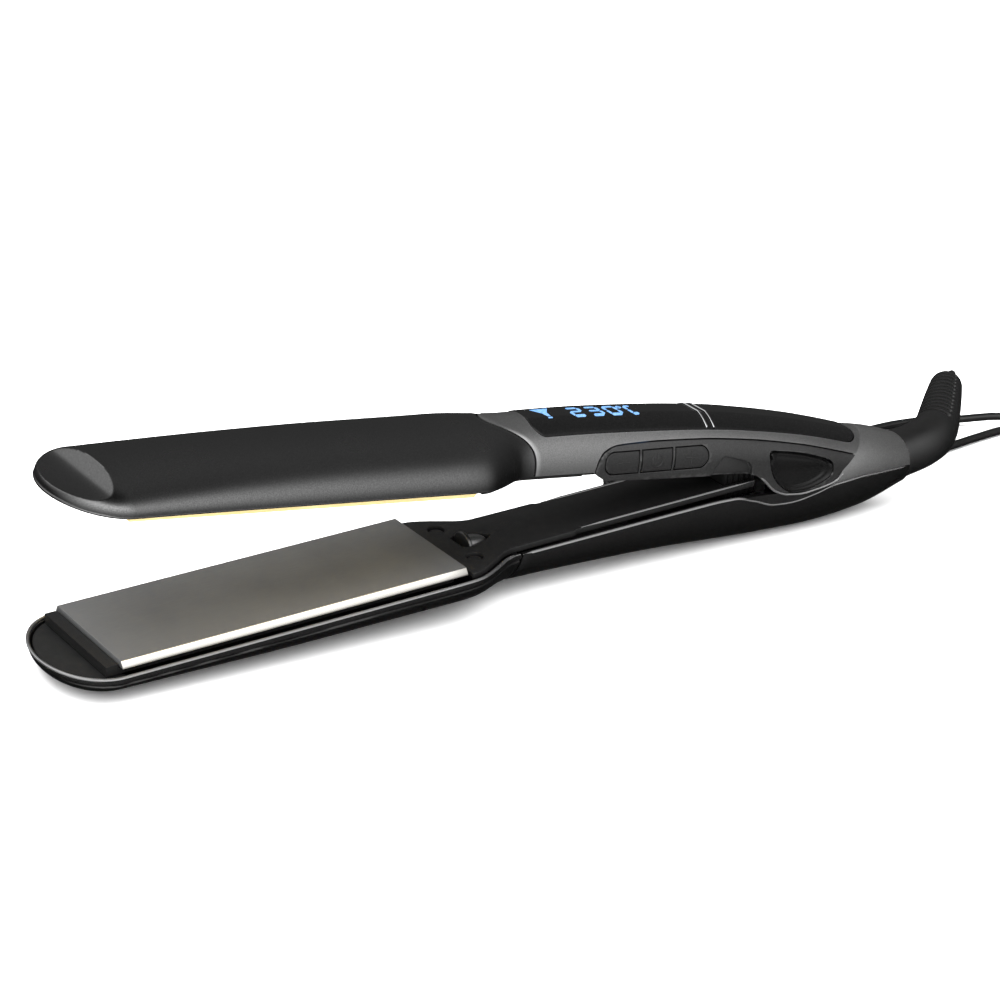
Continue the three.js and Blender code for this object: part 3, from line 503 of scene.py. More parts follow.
# Light lacquer on the beads: a painted highlight along the rims, the lug and the inner-cover edges.
BEAD_HIGHLIGHT_PAINT = lacquer("bead", 0.42, 0.1, 0.95, 0.28)
PANEL = lacquer("panel", 0.1, 0.14, 0.95, 0.36)
KEY_PAINT = lacquer("key", 0.06, 0.14, 0.9, 0.42)
ICON_PAINT = lacquer("icon", 0.02, 0.14, 0.5, 0.45)
INNER = spark_plastic("inner", 0.008, 0.35, 0.55)
CARRIER = spark_plastic("carrier", 0.006, 0.3, 0.42)
GLOSS = polished_black("gloss_black")
TITANIUM = coated_metal("titanium", (0.078, 0.079, 0.08), (0.09, 0.091, 0.091), 0.46, (14, 1, 1), 0.22)
BEVEL_METAL = coated_metal("plate_bevel", (0.9, 0.88, 0.82), (0.98, 0.96, 0.9), 0.22, (14, 1, 1))
GOLD = coated_metal("gold", (0.74, 0.57, 0.25), (0.84, 0.67, 0.33), 0.3, (14, 1, 1), 0.25)
STEEL = coated_metal("steel", (0.42, 0.42, 0.43), (0.56, 0.56, 0.57), 0.3, (1, 1, 1))
CHROME = coated_metal("chrome", (0.78, 0.79, 0.8), (0.86, 0.87, 0.88), 0.07, (1, 1, 6))
BRASS = coated_metal("brass", (0.62, 0.43, 0.17), (0.78, 0.57, 0.26), 0.25, (6, 1, 1))
CERAMIC = spark_plastic("ceramic", 0.72, 0.5, 0.6, 0.04)
BOARD = spark_plastic("board", 0.05, 0.5, 0.5, -0.3)
RUBBER = spark_plastic("rubber", 0.003, 0.4, 0.36, gloss=0.6)
CORD_SKIN = spark_plastic("cord_skin", 0.003, 0.5, 0.34, gloss=0.5)
BOOT = spark_plastic("boot", 0.003, 0.5, 0.6)
LIT = lit("display_light")
SLOT_LOOKS = {
    "shell": SHELL, "handle": HANDLE, "inner": INNER, "gloss_black": GLOSS, "button": KEY_PAINT,
    "titanium": TITANIUM, "gold": GOLD, "steel": STEEL, "chrome": CHROME, "ceramic": CERAMIC,
    "silicone": BOOT, "board": BOARD, "rubber": RUBBER, "brass": BRASS, "display_light": LIT,
}
NODE_LOOKS = {
    "lower_plate_carrier": CARRIER, "upper_plate_carrier": CARRIER, "lower_handle_shell": LOWER_PAINT,
}
for part in frame["record"]["subparts"]:
    for slot in frame["nodes"][part["node"]].material_slots:
        slot.material = NODE_LOOKS.get(part["node"], SLOT_LOOKS[part["material_slot"]])


# ---- camera, floor and light ----
CAMERA_PLACE = (-0.46866, -0.64802, 0.36636)
CAMERA_RIGHT = (0.82727, -0.55744, 0.06994)
CAMERA_UP = (0.16563, 0.36095, 0.91776)


def set_camera():
    data = bpy.data.cameras.new("camera")
    data.lens = 104.4
    data.sensor_width = 36.0
    camera = bpy.data.objects.new("camera", data)
    link(camera)
    right, up = Vector(CAMERA_RIGHT).normalized(), Vector(CAMERA_UP).normalized()
    turn = Matrix((right, up, right.cross(up))).transposed()
    camera.matrix_world = Matrix.Translation(CAMERA_PLACE) @ turn.to_4x4()
    bpy.context.scene.camera = camera


def set_floor():
    n = Nodes("floor")
    colour = n.colours(n.span(n.noise(60, 4), 0, 1), grey(0.9), grey(0.93))
    mesh = bpy.data.meshes.new("floor")
    reach = 4.0
    mesh.from_pydata([(x * reach, y * reach, -0.0003) for x, y in ((-1, -1), (1, -1), (1, 1), (-1, 1))], [],
                     [(0, 1, 2, 3)])
    mesh.materials.append(n.set(Base_Color=colour, Roughness=n.span(n.noise(40, 3), 0.75, 0.85)))
    floor = bpy.data.objects.new("floor", mesh)
    link(floor)
    floor.visible_glossy = False


# The sky's brightness from straight down (0) to straight up (1), and the sides it is bright towards:
# a direction, the two cosines its brightness runs between, and its values there.
SKY = (
    (0.28, 0.32), (0.4, 0.55), (0.52, 0.9), (0.64, 1.35), (0.76, 2.0), (0.86, 2.7), (0.92, 2.4), (0.955, 0.9),
    (0.98, 0.12),
)
SKY_FRONT = ((-0.55, -0.83, 0), -0.3, 0.7, 0.07, 1.0)
SKY_GLOW = ((-0.42, 0.72, 0.55), 0.82, 0.98, 0.0, 0.75)
LAMPS = (("overhead", (0.1, 0.3, 1.8), 3.2, 150), ("left_front", (-1.2, -0.9, 0.9), 1.0, 12),
         ("tail_side", (0.9, -0.5, 0.8), 0.8, 7))


def set_sky():
    """A pale sky, brightest half way up on one side and dark overhead."""
    world = bpy.data.worlds.new("studio")
    bpy.context.scene.world = world
    world.use_nodes = True
    tree = world.node_tree

    def add(kind, *values, **settings):
        node = tree.nodes.new(kind)
        for key, value in settings.items():
            setattr(node, key, value)
        for socket, value in zip(node.inputs, values):
            if isinstance(value, bpy.types.NodeSocket):
                tree.links.new(value, socket)
            else:
                socket.default_value = value
        return node

    at = add("ShaderNodeTexCoord").outputs["Generated"]

    def toward(direction, *limits):
        along = add("ShaderNodeVectorMath", at, direction, operation="DOT_PRODUCT").outputs["Value"]
        return add("ShaderNodeMapRange", along, *limits, interpolation_type="SMOOTHSTEP").outputs["Result"]

    up = add("ShaderNodeMapRange", add("ShaderNodeSeparateXYZ", at).outputs["Z"], -1.0).outputs["Result"]
    height = add("ShaderNodeValToRGB", up)
    elements = height.color_ramp.elements
    elements[0].position, elements[0].color = 0.0, (0.25, 0.25, 0.25, 1)
    elements[1].position, elements[1].color = 1.0, (0.05, 0.05, 0.052, 1)
    for position, value in SKY:
        elements.new(position).color = (value, value, value, 1)
    front = add("ShaderNodeMath", height.outputs["Color"], toward(*SKY_FRONT), operation="MULTIPLY")
    total = add("ShaderNodeMath", front.outputs[0], toward(*SKY_GLOW))
    background = tree.nodes["Background"]
    background.inputs["Color"].default_value = (1, 1, 1, 1)
    tree.links.new(total.outputs[0], background.inputs["Strength"])


def set_lamps():
    """Soft boxes that the shells don't mirror."""
    for name, where, size, power in LAMPS:
        data = bpy.data.lights.new(name, "AREA")
        data.size = size
        data.energy = power
        lamp = bpy.data.objects.new(name, data)
        lamp.location = where
        lamp.rotation_euler = (-Vector(where)).to_track_quat("-Z", "Y").to_euler()
        lamp.visible_glossy = False
        link(lamp)
    view = bpy.context.scene.view_settings
    view.view_transform = "Standard"
    view.look = "None"


set_camera()
set_floor()
set_sky()
set_lamps()


# ---- cord, hank and plug ----
CORD_ROUTE = [
    (201.5, 26.4, 24.6), (206, 30.5, 25), (210.6, 34.7, 22.4), (213, 37.6, 16.4), (211.6, 39.4, 9.6),
    (206.4, 40.8, 4), (197.6, 41.6, 1.8), (188.4, 41, 1.5), (180.6, 37.6, 1.5), (177.4, 31, 1.5),
    (181, 24.6, 1.5), (189.6, 22, 1.5), (200, 22.8, 1.5), (214, 25, 1.5), (230, 27, 1.5), (246, 27.8, 1.5),
    (262, 27, 1.5), (276, 23.8, 1.6), (286, 16, 2.2), (289, 5, 3), (284, -5.4, 4), (273, -9.6, 4.8),
    (262.4, -5, 5), (253.6, 5.6, 5), (247, 15.6, 5), (240.6, 24.6, 5.2), (233, 32.4, 4.4), (223, 40.6, 2),
    (211, 45.8, 1.5), (197.6, 47.4, 1.5), (184, 46.8, 1.5), (168, 46.2, 1.5), (152, 46.4, 1.5),
    (138, 46.2, 1.5), (125.1, 45, 1.5),
]
HANK = {"x0": 66.0, "x1": 127.0, "y": 36.0, "width": 27.0, "height": 12.0}
PLUG = {"x": 125.5, "y": 27.0, "z": 6.3, "length": 26.0}
BLADE = {"length": 17.2, "taper": 2.7, "half": 3.1, "tip_half": 1.6, "spacing": 12.7, "hole": 12.5}


def hank_path():
    """Twelve flat turns in four layers of three, wound inward and outward in turn."""
    columns, layers, pitch = 3, 4, 2.92
    outer = HANK["width"] / 2 - CORD["diameter"] / 2 - 0.15
    middle_left, middle_right = HANK["x0"] + HANK["width"] / 2, HANK["x1"] - HANK["width"] / 2
    straight = middle_right - middle_left

    def turn_at(k):
        layer, step = divmod(k, columns)
        column = step if layer % 2 == 0 else columns - 1 - step
        return outer - pitch * column, 1.75 + 2.88 * layer

    points = []
    turns = columns * layers
    for k in range(turns):
        radius, z = turn_at(k)
        next_radius, next_z = turn_at(min(k + 1, turns - 1))
        for t in np.linspace(0, 1, 96, endpoint=False):
            ease = np.clip((t - 0.62) / 0.38, 0, 1)
            ease = ease * ease * (3 - 2 * ease)
            r = radius + (next_radius - radius) * ease
            height = z + (next_z - z) * ease
            loop = 2 * straight + 2 * math.pi * r
            s = t * loop
            if s < straight:
                x, y = middle_right - s, r
            elif s < straight + math.pi * r:
                a = math.pi / 2 + (s - straight) / r
                x, y = middle_left + r * math.cos(a), r * math.sin(a)
            elif s < 2 * straight + math.pi * r:
                x, y = middle_left + (s - straight - math.pi * r), -r
            else:
                if k == turns - 1:
                    break
                a = -math.pi / 2 + (s - 2 * straight - math.pi * r) / r
                x, y = middle_right + r * math.cos(a), r * math.sin(a)
            points.append((x, HANK["y"] + y, height))
    return np.array(points)


def cord_path():
    start = smooth_path(CORD_ROUTE, 0.8)
    hank = hank_path()
    exit_z = hank[-1][2]
    tail = [(119.5, 24.6, exit_z), (PLUG["x"] - 0.2, 26.8, exit_z - 0.4)]
    return smooth_path(np.vstack([start[::6], hank[2::3], tail]), 0.9)


def make_cord():
    path = cord_path()
    points, faces = tube(path, CORD["diameter"] / 2, 14)
    cord = new_piece("mains_cord", points, faces, "table", CORD_SKIN)
    return finish(cord, "rubber", "cord", "cord_hank"), path


def make_plug():
    """Moulded plug with a ribbed neck and grip steps on its flanks."""
    n = 48
    angles = np.linspace(0, 2 * math.pi, n, endpoint=False)
    c, s = np.cos(angles), np.sin(angles)
    boxy = 1 / np.maximum(np.abs(c), np.abs(s)) ** 0.6
    stations = through([(0, 2.1), (6, 3), (9.5, 5.6), (12.5, 9), (15.5, 10.4), (25, 11), (26, 10.2)])
    heights = through([(0, 2.1), (6, 2.9), (9.5, 4), (12.5, 5), (15.5, 5.7), (25, 5.7), (26, 4.9)])
    middles = through([(0, 9.8), (6, 9), (9.5, 7.8), (12.5, 6.9), (15.5, 6.3), (26, 6.3)])
    rows = []
    for x in np.linspace(0, PLUG["length"], 80):
        groove = 0.25 if x < 6 and math.sin(x * 2 * math.pi / 1.5) > 0.2 else 0
        groove += 0.35 if 16.5 < x < 23 and math.sin((x - 16.5) * 2 * math.pi / 1.6) > 0.3 else 0
        rows.append(np.stack([np.full(n, PLUG["x"] + x), PLUG["y"] + (stations(x) - groove) * c * boxy,
                              middles(x) + heights(x) * s * boxy], -1))
    points, faces = rings(rows)
    plug = new_piece("moulded_plug", points, faces, "table", RUBBER)
    pieces = [finish(plug, "rubber", "plug_body")]
    for i, hand in enumerate((-1, 1)):
        x0 = PLUG["x"] + PLUG["length"] - 1
        y = PLUG["y"] + hand * BLADE["spacing"] / 2
        tip = x0 + BLADE["length"]
        below = [(x0, -BLADE["half"]), (tip - BLADE["taper"], -BLADE["half"]), (tip, -BLADE["tip_half"])]
        outline = [(x, PLUG["z"] + z) for x, z in below + [(x, -z) for x, z in below[::-1]]]
        blade = new_piece(f"plug_pin_{i + 1}", *prism(outline, y - 0.75, y + 0.75, "y"), "table", BRASS)
        hole = arc((x0 + BLADE["hole"], PLUG["z"]), 1.2, 0, 345, 24)
        carve(blade, [block(hole, y - 2, y + 2, "y", "table")])
        rounded(blade, 0.25)
        pieces.append(finish(blade, "brass", f"plug_blade_{i + 1}"))
    return pieces


def make_tie():
    """Rubber strap around the hank, with a row of ridges."""
    x = (HANK["x0"] + HANK["x1"]) / 2
    y, w, h = HANK["y"], HANK["width"] / 2 + 0.9, HANK["height"] + 0.75
    section = [(y - w, 2), (y - w, 6), (y - w, h - 2), (y - w + 2, h), (y, h + 0.1), (y + w - 2, h),
               (y + w, h - 2), (y + w, 6), (y + w, 2), (y + w - 1.2, 0.75), (y, 0.75), (y - w + 1.2, 0.75)]
    loop = smooth_loop(section, 8)
    ahead = np.roll(loop, -1, 0) - np.roll(loop, 1, 0)
    ahead /= np.linalg.norm(ahead, axis=1)[:, None]
    outward = np.stack([-ahead[:, 1], ahead[:, 0]], -1)
    rows = []
    for k, (point, out) in enumerate(zip(loop, outward)):
        ridge = 0.15 * (k % 4 < 2)
        profile = ((-4.6, -0.3), (4.6, -0.3), (5, 0), (4.6, 0.35), (2.2, 0.35 + ridge),
                   (-2.2, 0.35 + ridge), (-4.6, 0.35), (-5, 0))
        rows.append([(x + dx, *(point + out * dz)) for dx, dz in profile])
    rows.append(rows[0])
    points, faces = rings(rows, close_ends=False)
    tie = new_piece("hank_strap", points, faces, "table", RUBBER, sharp=50)
    return finish(tie, "rubber", "hank_tie")


cord, cord_points = make_cord()
plug_pieces = make_plug()
strap = make_tie()


# ---- shells ----
def rim_to_rim(groove):
    """Stations round a section, closer together beside the rims where the groove runs."""
    beside = np.linspace(RIM_SHARE, 0.22, 34 if groove else 12)[:-1]
    first = np.concatenate([np.linspace(0, RIM_SHARE, 7)[:-1], beside])
    return np.concatenate([first, np.linspace(0.22, 0.78, 56), 1 - first[::-1]])


def crown_part(v):
    """How near the crown a station is: 0 at the springing lines and below, 1 at the crown."""
    return np.sin(np.clip((v - RIM_SHARE) / (1 - 2 * RIM_SHARE), 0, 1) * math.pi)


def groove_inset(arm, x, v, low, high, depth):
    """Inset of a groove that runs between two depths below the rim."""
    below = np.abs(around(arm, x, v)[..., 2] - arm["rim"](x))
    into = np.clip((below - low) / 0.25, 0, 1) * np.clip((high - below) / 0.25, 0, 1)
    return depth * into * (np.clip((x + NOSE_LENGTH) / 3, 0, 1))


def barrel(name, arm, seam, where, node, paint, groove):
    vs = rim_to_rim(groove)
    noses = -NOSE_LENGTH * np.cos(np.linspace(0, 1, 56) * math.pi / 2)
    end = seam["rim"] - seam["lean"] * crown_part(vs) ** seam["power"]
    body_rows = np.linspace(0, 1, 60)[1:, None] * end[None, :]
    xx = np.vstack([np.repeat(noses[:, None], len(vs), 1), body_rows])
    vv = np.broadcast_to(vs, xx.shape)
    inset = groove_inset(arm, xx, vv, 1.3, 2.3, 0.5) if groove else 0.0
    lip = np.clip(1 - (end[None, :] - xx) / LIP_LENGTH, 0, 1)
    outer = around(arm, xx, vv, inset + LIP_DEPTH * lip ** 2)
    inner = around(arm, np.maximum(xx, -NOSE_LENGTH + WALL), vv, WALL)
    if arm is UPPER:
        outer[..., 2] = np.minimum(outer[..., 2], np.where(xx < 0.5, tip_scoop(xx), 99))
        inner[..., 2] = np.minimum(inner[..., 2], np.where(xx < 1.5, tip_scoop(xx) - 1.2, 99))
    finish(new_piece(name, *slab(outer, inner), where, paint), "shell", node)


def rim_loop(arm, end, inset, rise):
    """Path along both rims and round the nose."""
    side = np.linspace(end, 0, 150)[:-1]
    nose_x = -NOSE_LENGTH * np.cos(np.linspace(1, 0, 40) * math.pi / 2)
    xs = np.concatenate([side, nose_x])
    near = np.stack([xs, -np.maximum(half(xs) - inset, 0), arm["rim"](xs) + rise], -1)
    far = near[::-1] * np.array([1, -1, 1])
    return evenly(np.vstack([near, far[1:]]), 0.8)


def bead(name, path, radius, where, paint, slot="handle"):
    taper = np.clip(np.minimum(np.arange(len(path)), np.arange(len(path))[::-1]) / 4, 0.3, 1)
    finish(new_piece(name, *tube(path, radius * taper, 10), where, paint), slot)


def side_line(arm, x0, x1, hand, inset, rise):
    xs = np.linspace(x0, x1, int((x1 - x0) / 0.8))
    return np.stack([xs, hand * (half(xs) - inset), arm["rim"](xs) + rise], -1)


def tip_deck(name, arm, where):
    """Floor between the nose and the plate, set a little below the rim."""
    side = arm["side"]
    level = float(arm["rim"](0.0)) + side * 0.7
    angles = np.linspace(-90, 90, 61)
    reach = NOSE_LENGTH - 1.5
    outline = [(-reach * math.cos(math.radians(a)), 20.9 * math.sin(math.radians(a))) for a in angles]
    outline = [(1.4, -20.9), *outline, (1.4, 20.9)]
    deck = new_piece(name, *prism(outline, level, level + side * 1.2, "z"), where, INNER)
    finish(rounded(deck, 0.3), "inner")


def straight_end(x):
    return lambda v: np.full_like(v, x)


def handle_part(name, arm, xs_start, xs_end, rows, where, paint):
    vs = rim_to_rim(False)
    u = np.linspace(0, 1, rows)[:, None]
    xx = xs_start(vs)[None, :] * (1 - u) + xs_end(vs)[None, :] * u
    vv = np.broadcast_to(vs, xx.shape)
    edge = np.clip(1 - (xx - xs_start(vs)[None, :]) / LIP_LENGTH, 0, 1)
    outer = around(arm, xx, vv, LIP_DEPTH * edge ** 2)
    inner = around(arm, xx, vv, WALL)
    return new_piece(name, *slab(outer, inner), where, paint)


barrel("lower_barrel", LOWER, LOWER_SEAM, "lower", "lower_front_shell", LOWER_PAINT, True)
barrel("upper_barrel", UPPER, FRONT_SEAM, "upper", "upper_front_shell", SHELL, False)
tip_deck("lower_tip_deck", LOWER, "lower")
tip_deck("upper_tip_deck", UPPER, "upper")
# The lower rim bead is painted light as a painted highlight line.
bead("lower_rim_bead", rim_loop(LOWER, 135.2, 0.5, 0.15), 0.5, "lower", BEAD_HIGHLIGHT_PAINT)
bead("upper_rim_bead", rim_loop(UPPER, 136.2, 0.5, -0.1), 0.5, "upper", SHELL, "shell")
lower_grip = handle_part("lower_grip", LOWER,
                         lambda v: LOWER_SEAM["rim"] + SEAM - LOWER_SEAM["lean"] * crown_part(v),
                         straight_end(TAIL_END), 130, "lower", LOWER_PAINT)
finish(lower_grip, "shell", "lower_handle_shell")
for hand, label in ((-1, "near"), (1, "far")):
    line = side_line(LOWER, 136.2, 292.6, hand, 0.42, -0.12)
    # Grip beads painted light as a painted highlight line.
    bead(f"lower_grip_bead_{label}", line, 0.48, "lower", BEAD_HIGHLIGHT_PAINT)


# ---- tail cover ----
def rear_seam(shift):
    """Line between the upper arm and the tail cover, in the upper arm's frame, moved rearward by shift."""
    z = np.array([-16, -11, -8, -6, -3, -1, 2.3, 5.4, 7.6, 10, 18])
    x = np.array([246, 252.3, 255.6, 257.5, 260.1, 261.9, 265.6, 269.9, 273.9, 279, 297])
    curve = through(list(zip(z, x)))
    heights = np.linspace(-16, 18, 90)
    return [(float(curve(h)) + shift, float(h)) for h in heights]


collar = handle_part("tail_collar", COLLAR, straight_end(236.0), straight_end(TAIL_END), 80, "lower",
                     COLLAR_PAINT)
seam_line = rear_seam(SEAM / 2)
ahead_of_seam = [(180, -16), *seam_line, (180, 18)]
carve(collar, [block(ahead_of_seam, -40, 40, "y")])
rounded(collar, 0.2, 2, 50)
finish(collar, "handle", "tail_cover")


# ---- handle of the upper arm ----
def pod_outline(grow):
    """Outline of the side panel in x and z."""
    top = through([
        (159.4, 3.3), (160, 5.8), (162.3, 8.7), (167.1, 10.4), (172.1, 10.7), (183.7, 11), (199.9, 10.8),
        (215.7, 9.9), (240.7, 7.1), (265.4, 2.4), (284, -1.5),
    ])
    xs = np.concatenate([np.linspace(159.4, 167, 20), np.linspace(170, 284, 64)])
    front = [(159.3 - grow, -16), *[(x - grow * (x < 165), float(top(x)) + grow) for x in xs]]
    return [*front, (284, -16)]


def corner_back(y, radius):
    """How far the cover's end lies back at a width, with corners of the given radius."""
    into = np.clip((np.abs(y) - (COVER["half"] - radius)) / radius, 0, 1)
    return radius * (1 - np.sqrt(1 - into ** 2))


def cover_block(grow):
    wide = COVER["half"]
    ys = wide * np.sin(np.linspace(-math.pi / 2, math.pi / 2, 61))
    out = 1 + grow / wide
    front = [(COVER["start"] - grow + corner_back(y, COVER["front_round"]), y * out) for y in ys]
    rear = [(COVER["end"] + grow - corner_back(y, COVER["rear_round"]), y * out) for y in ys[::-1]]
    return block(front + rear, -5, 30, "z")


def upper_skin(name, x0, lean, x1, paint, rows=120):
    return handle_part(name, UPPER, lambda v: x0 - lean * crown_part(v) ** FRONT_SEAM["power"],
                       straight_end(x1), rows, "upper", paint)


def within_seam():
    return block([(100, -16), *rear_seam(-SEAM / 2), (100, 18)], -40, 40, "y")


grip = upper_skin("upper_grip", FRONT_SEAM["rim"] + SEAM, FRONT_SEAM["lean"], 282.0, HANDLE, 160)
carve(grip, [within_seam()], keep=True)
carve(grip, [*(block(pod_outline(0.25), hand * 5, hand * 30, "y") for hand in (-1, 1)), cover_block(0.25)])
rounded(grip, 0.2, 2, 50)
finish(grip, "handle", "upper_handle_shell")


def cap_outline(grow):
    """Outline of the recess at the hinge in x and z."""
    corners = [(228, 5.6), (233, 5.6), (240.4, 4.7), (247, 3.5), (253.7, 1.6), (255.8, -1), (255, -4),
               (248.3, -7.2), (240.7, -8.3), (236, -6.9), (231.5, -3.4), (228.6, 1.5)]
    loop = smooth_loop(corners, 6)
    middle = loop.mean(0)
    away = loop - middle
    return loop + grow * away / np.linalg.norm(away, axis=1)[:, None]


# Each button: its two ends, the end that is round (-1 front, 1 rear) and its body.
BUTTONS = (
    (162.9, 175.4, -1, "button_minus"), (177.0, 188.2, 0, "button_power"), (189.8, 202.5, 1, "button_plus"),
)


def button_outline(x0, x1, rounding, grow):
    low = lambda x: 1.9 - grow + 0.016 * (x - 162.9)
    high = lambda x: 8.3 + grow + 0.016 * (x - 162.9)
    a, b = x0 - grow, x1 + grow
    middle = (low((a + b) / 2) + high((a + b) / 2)) / 2
    radius = (high(a) - low(a)) / 2
    points = []
    if rounding > 0:
        points += [(b - radius + radius * math.cos(t), middle + radius * math.sin(t))
                   for t in np.linspace(-math.pi / 2, math.pi / 2, 24)]
    else:
        points += [(b, low(b)), (b, high(b))]
    if rounding < 0:
        points += [(a + radius + radius * math.cos(t), middle + radius * math.sin(t))
                   for t in np.linspace(math.pi / 2, 1.5 * math.pi, 24)]
    else:
        points += [(a, high(a)), (a, low(a))]
    return points


for hand, label in ((-1, "near"), (1, "far")):
    panel = upper_skin(f"grip_panel_{label}", 159.0, 0.0, 282.0, PANEL, 120)
    carve(panel, [within_seam(), block(pod_outline(-0.2), hand * 4, hand * 30, "y")], keep=True)
    cuts = [block(cap_outline(0.15), hand * 6, hand * 30, "y")]
    if hand < 0:
        cuts += [block(button_outline(x0, x1, r, 0.45), -30, -6, "y") for x0, x1, r, _ in BUTTONS]
    facet = [(204, -3), (206, 1.5), (209.1, 5.4), (215.3, 4.2), (219.4, 2.9), (221.2, 1.2), (221.6, -3)]
    cuts.append(block(facet, hand * 12.9, hand * 30, "y"))
    carve(panel, cuts)
    rounded(panel, 0.25, 3, 50)
    inset = [(204.6, -0.4), (206.5, 1.6), (209.3, 5.1), (215.2, 3.9), (219.2, 2.6), (220.8, 1), (221, -0.9)]
    inlay = new_piece(f"facet_{label}", *block(inset, hand * 12.2, hand * 12.95, "y"), KEY_PAINT)
    finish(rounded(inlay, 0.2), "inner")
    finish(panel, "handle", f"side_panel_{label}")


def flank(x, z, hand, inset=0.0):
    """Point of the upper arm's outer face at height z."""
    rise = UPPER["crown"](x) - UPPER["spring"](x)
    part = np.clip((z - UPPER["spring"](x)) / rise, 0, 1)
    return np.stack([x, hand * ((half(x)) * np.sqrt(1 - part * part) - inset), z], -1)


for x0, x1, rounding, node in BUTTONS:
    outline = button_outline(x0, x1, rounding, 0.0)
    key = upper_skin(f"{node}_key", x0 - 3, 0.0, x1 + 3, KEY_PAINT, 30)
    carve(key, [block(outline, -30, -6, "y")], keep=True)
    rounded(key, 0.45, 4, 50)
    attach(key, node)
    finish(key, "button", node)


def stroke(name, strokes, body, radius=0.2):
    """Raised icon strokes lying on the near flank, given as paths in x and z."""
    paths = [np.asarray(path, float).T for path in strokes]
    points, faces = merged(tube(flank(x, z, -1, -0.04), radius, 8) for x, z in paths)
    finish(new_piece(name, points, faces, "upper", ICON_PAINT, body), "button")


stroke("icon_minus", [[(167.4, 5.3), (169.6, 5.3), (171.8, 5.3)]], "button_minus")
ring = [(182.6 + 1.9 * math.sin(t), 5.4 + 1.9 * math.cos(t)) for t in np.linspace(0.6, 2 * math.pi - 0.6, 30)]
stroke("icon_power", [ring, [(182.6, 5.7), (182.6, 6.6), (182.6, 7.7)]], "button_power")
stroke("icon_plus", [[(193.6, 5.7), (195.9, 5.7), (198.2, 5.7)], [(195.9, 3.6), (195.9, 5.7), (195.9, 7.8)]],
       "button_plus")


def hinge_dish(hand, label):
    """Glossy plate sunk in the hinge recess, with a rolled lip."""
    outline = cap_outline(-0.1)
    top = through(sorted({round(x, 3): z for x, z in outline if z > 0.5}.items()))
    middle = np.array([241.0, -1.2])
    rows = []
    for t in (1.0, 0.99, 0.96, 0.92, 0.89, 0.86, 0.83, 0.8, 0.77, 0.74, 0.7, 0.62, 0.5, 0.36, 0.22, 0.1,
              0.02):
        xs, zs = (middle + (outline - middle) * t).T
        lip = np.clip(1 - (top(xs) - zs) / 2.1, 0, 1) * 1.5
        ledge = 0.75 * np.clip((1 - t) / 0.08, 0, 1) + 0.55 * np.clip((0.83 - t) / 0.06, 0, 1)
        low = np.clip((1.5 - zs) / 3, 0, 1)
        edge = 0.3 * (t == 1.0)
        rows.append(flank(xs, zs, hand, 0.1 + edge + lip * (1 - low) + ledge * (0.35 + 0.65 * low)))
    back = flank(*(middle + (outline - middle)).T, hand, 2.6)
    points, faces = rings([back] + rows)
    dish = new_piece(f"hinge_dish_{label}", points, faces, "upper", GLOSS, sharp=60)
    finish(dish, "gloss_black", f"hinge_cap_{label}")


hinge_dish(-1, "near")
hinge_dish(1, "far")
for hand, label in ((-1, "near"), (1, "far")):
    xs = np.linspace(224.5, 261, 70)
    line = flank(xs, upper_rim(xs) + 0.35, hand, 0.25)
    # Lug bead painted light as a painted highlight line.
    bead(f"lug_bead_{label}", line, 0.45, "upper", BEAD_HIGHLIGHT_PAINT)


# ---- display cover, band and rear cover ----
def cover_top(x, y):
    """Height of the glossy cover: flat along the middle, then flanks that fall from a crease."""
    crease = COVER["crease"]
    out = np.clip(np.abs(y), crease, COVER["half"])
    rise = UPPER["crown"](x) - UPPER["spring"](x)
    skin_z = UPPER["spring"](x) + rise * np.sqrt(np.clip(1 - (out / half(x)) ** 2, 0, 1))
    return skin_z + 0.38 * np.clip(1 - (out - crease) / (COVER["half"] - crease), 0, 1)


def cover_piece(name, x0, x1, front_round, rear_round, paint, rows, lift=0.0, thick=1.5):
    wide = COVER["half"]
    crease = COVER["crease"] / wide
    outer_half = np.sin(np.linspace(math.asin(crease + 0.01), math.pi / 2, 30))
    inner_half = np.array([crease - 0.008, 0.3, 0.2, 0.1])
    share = np.concatenate([-outer_half[::-1], -inner_half, [0], inner_half[::-1], outer_half])
    u = (1 - np.cos(np.linspace(0, math.pi, rows))) / 2
    start = x0 + (corner_back(share * wide, front_round) if front_round else 0 * share)
    end = x1 - (corner_back(share * wide, rear_round) if rear_round else 0 * share)
    xx = start[None, :] * (1 - u[:, None]) + end[None, :] * u[:, None]
    yy = np.broadcast_to(share * wide, xx.shape)
    edge = np.minimum(np.minimum(xx - start, end - xx), (1 - np.abs(share[None, :])) * wide)
    roll = 0.35 * np.clip(1 - edge / 0.45, 0, 1) ** 2
    outer = np.stack([xx, yy, cover_top(xx, yy) + lift - roll], -1)
    inner = np.stack([xx, yy * 0.985, cover_top(xx, yy) - thick], -1)
    return new_piece(name, *slab(outer, inner), "upper", paint, sharp=28)


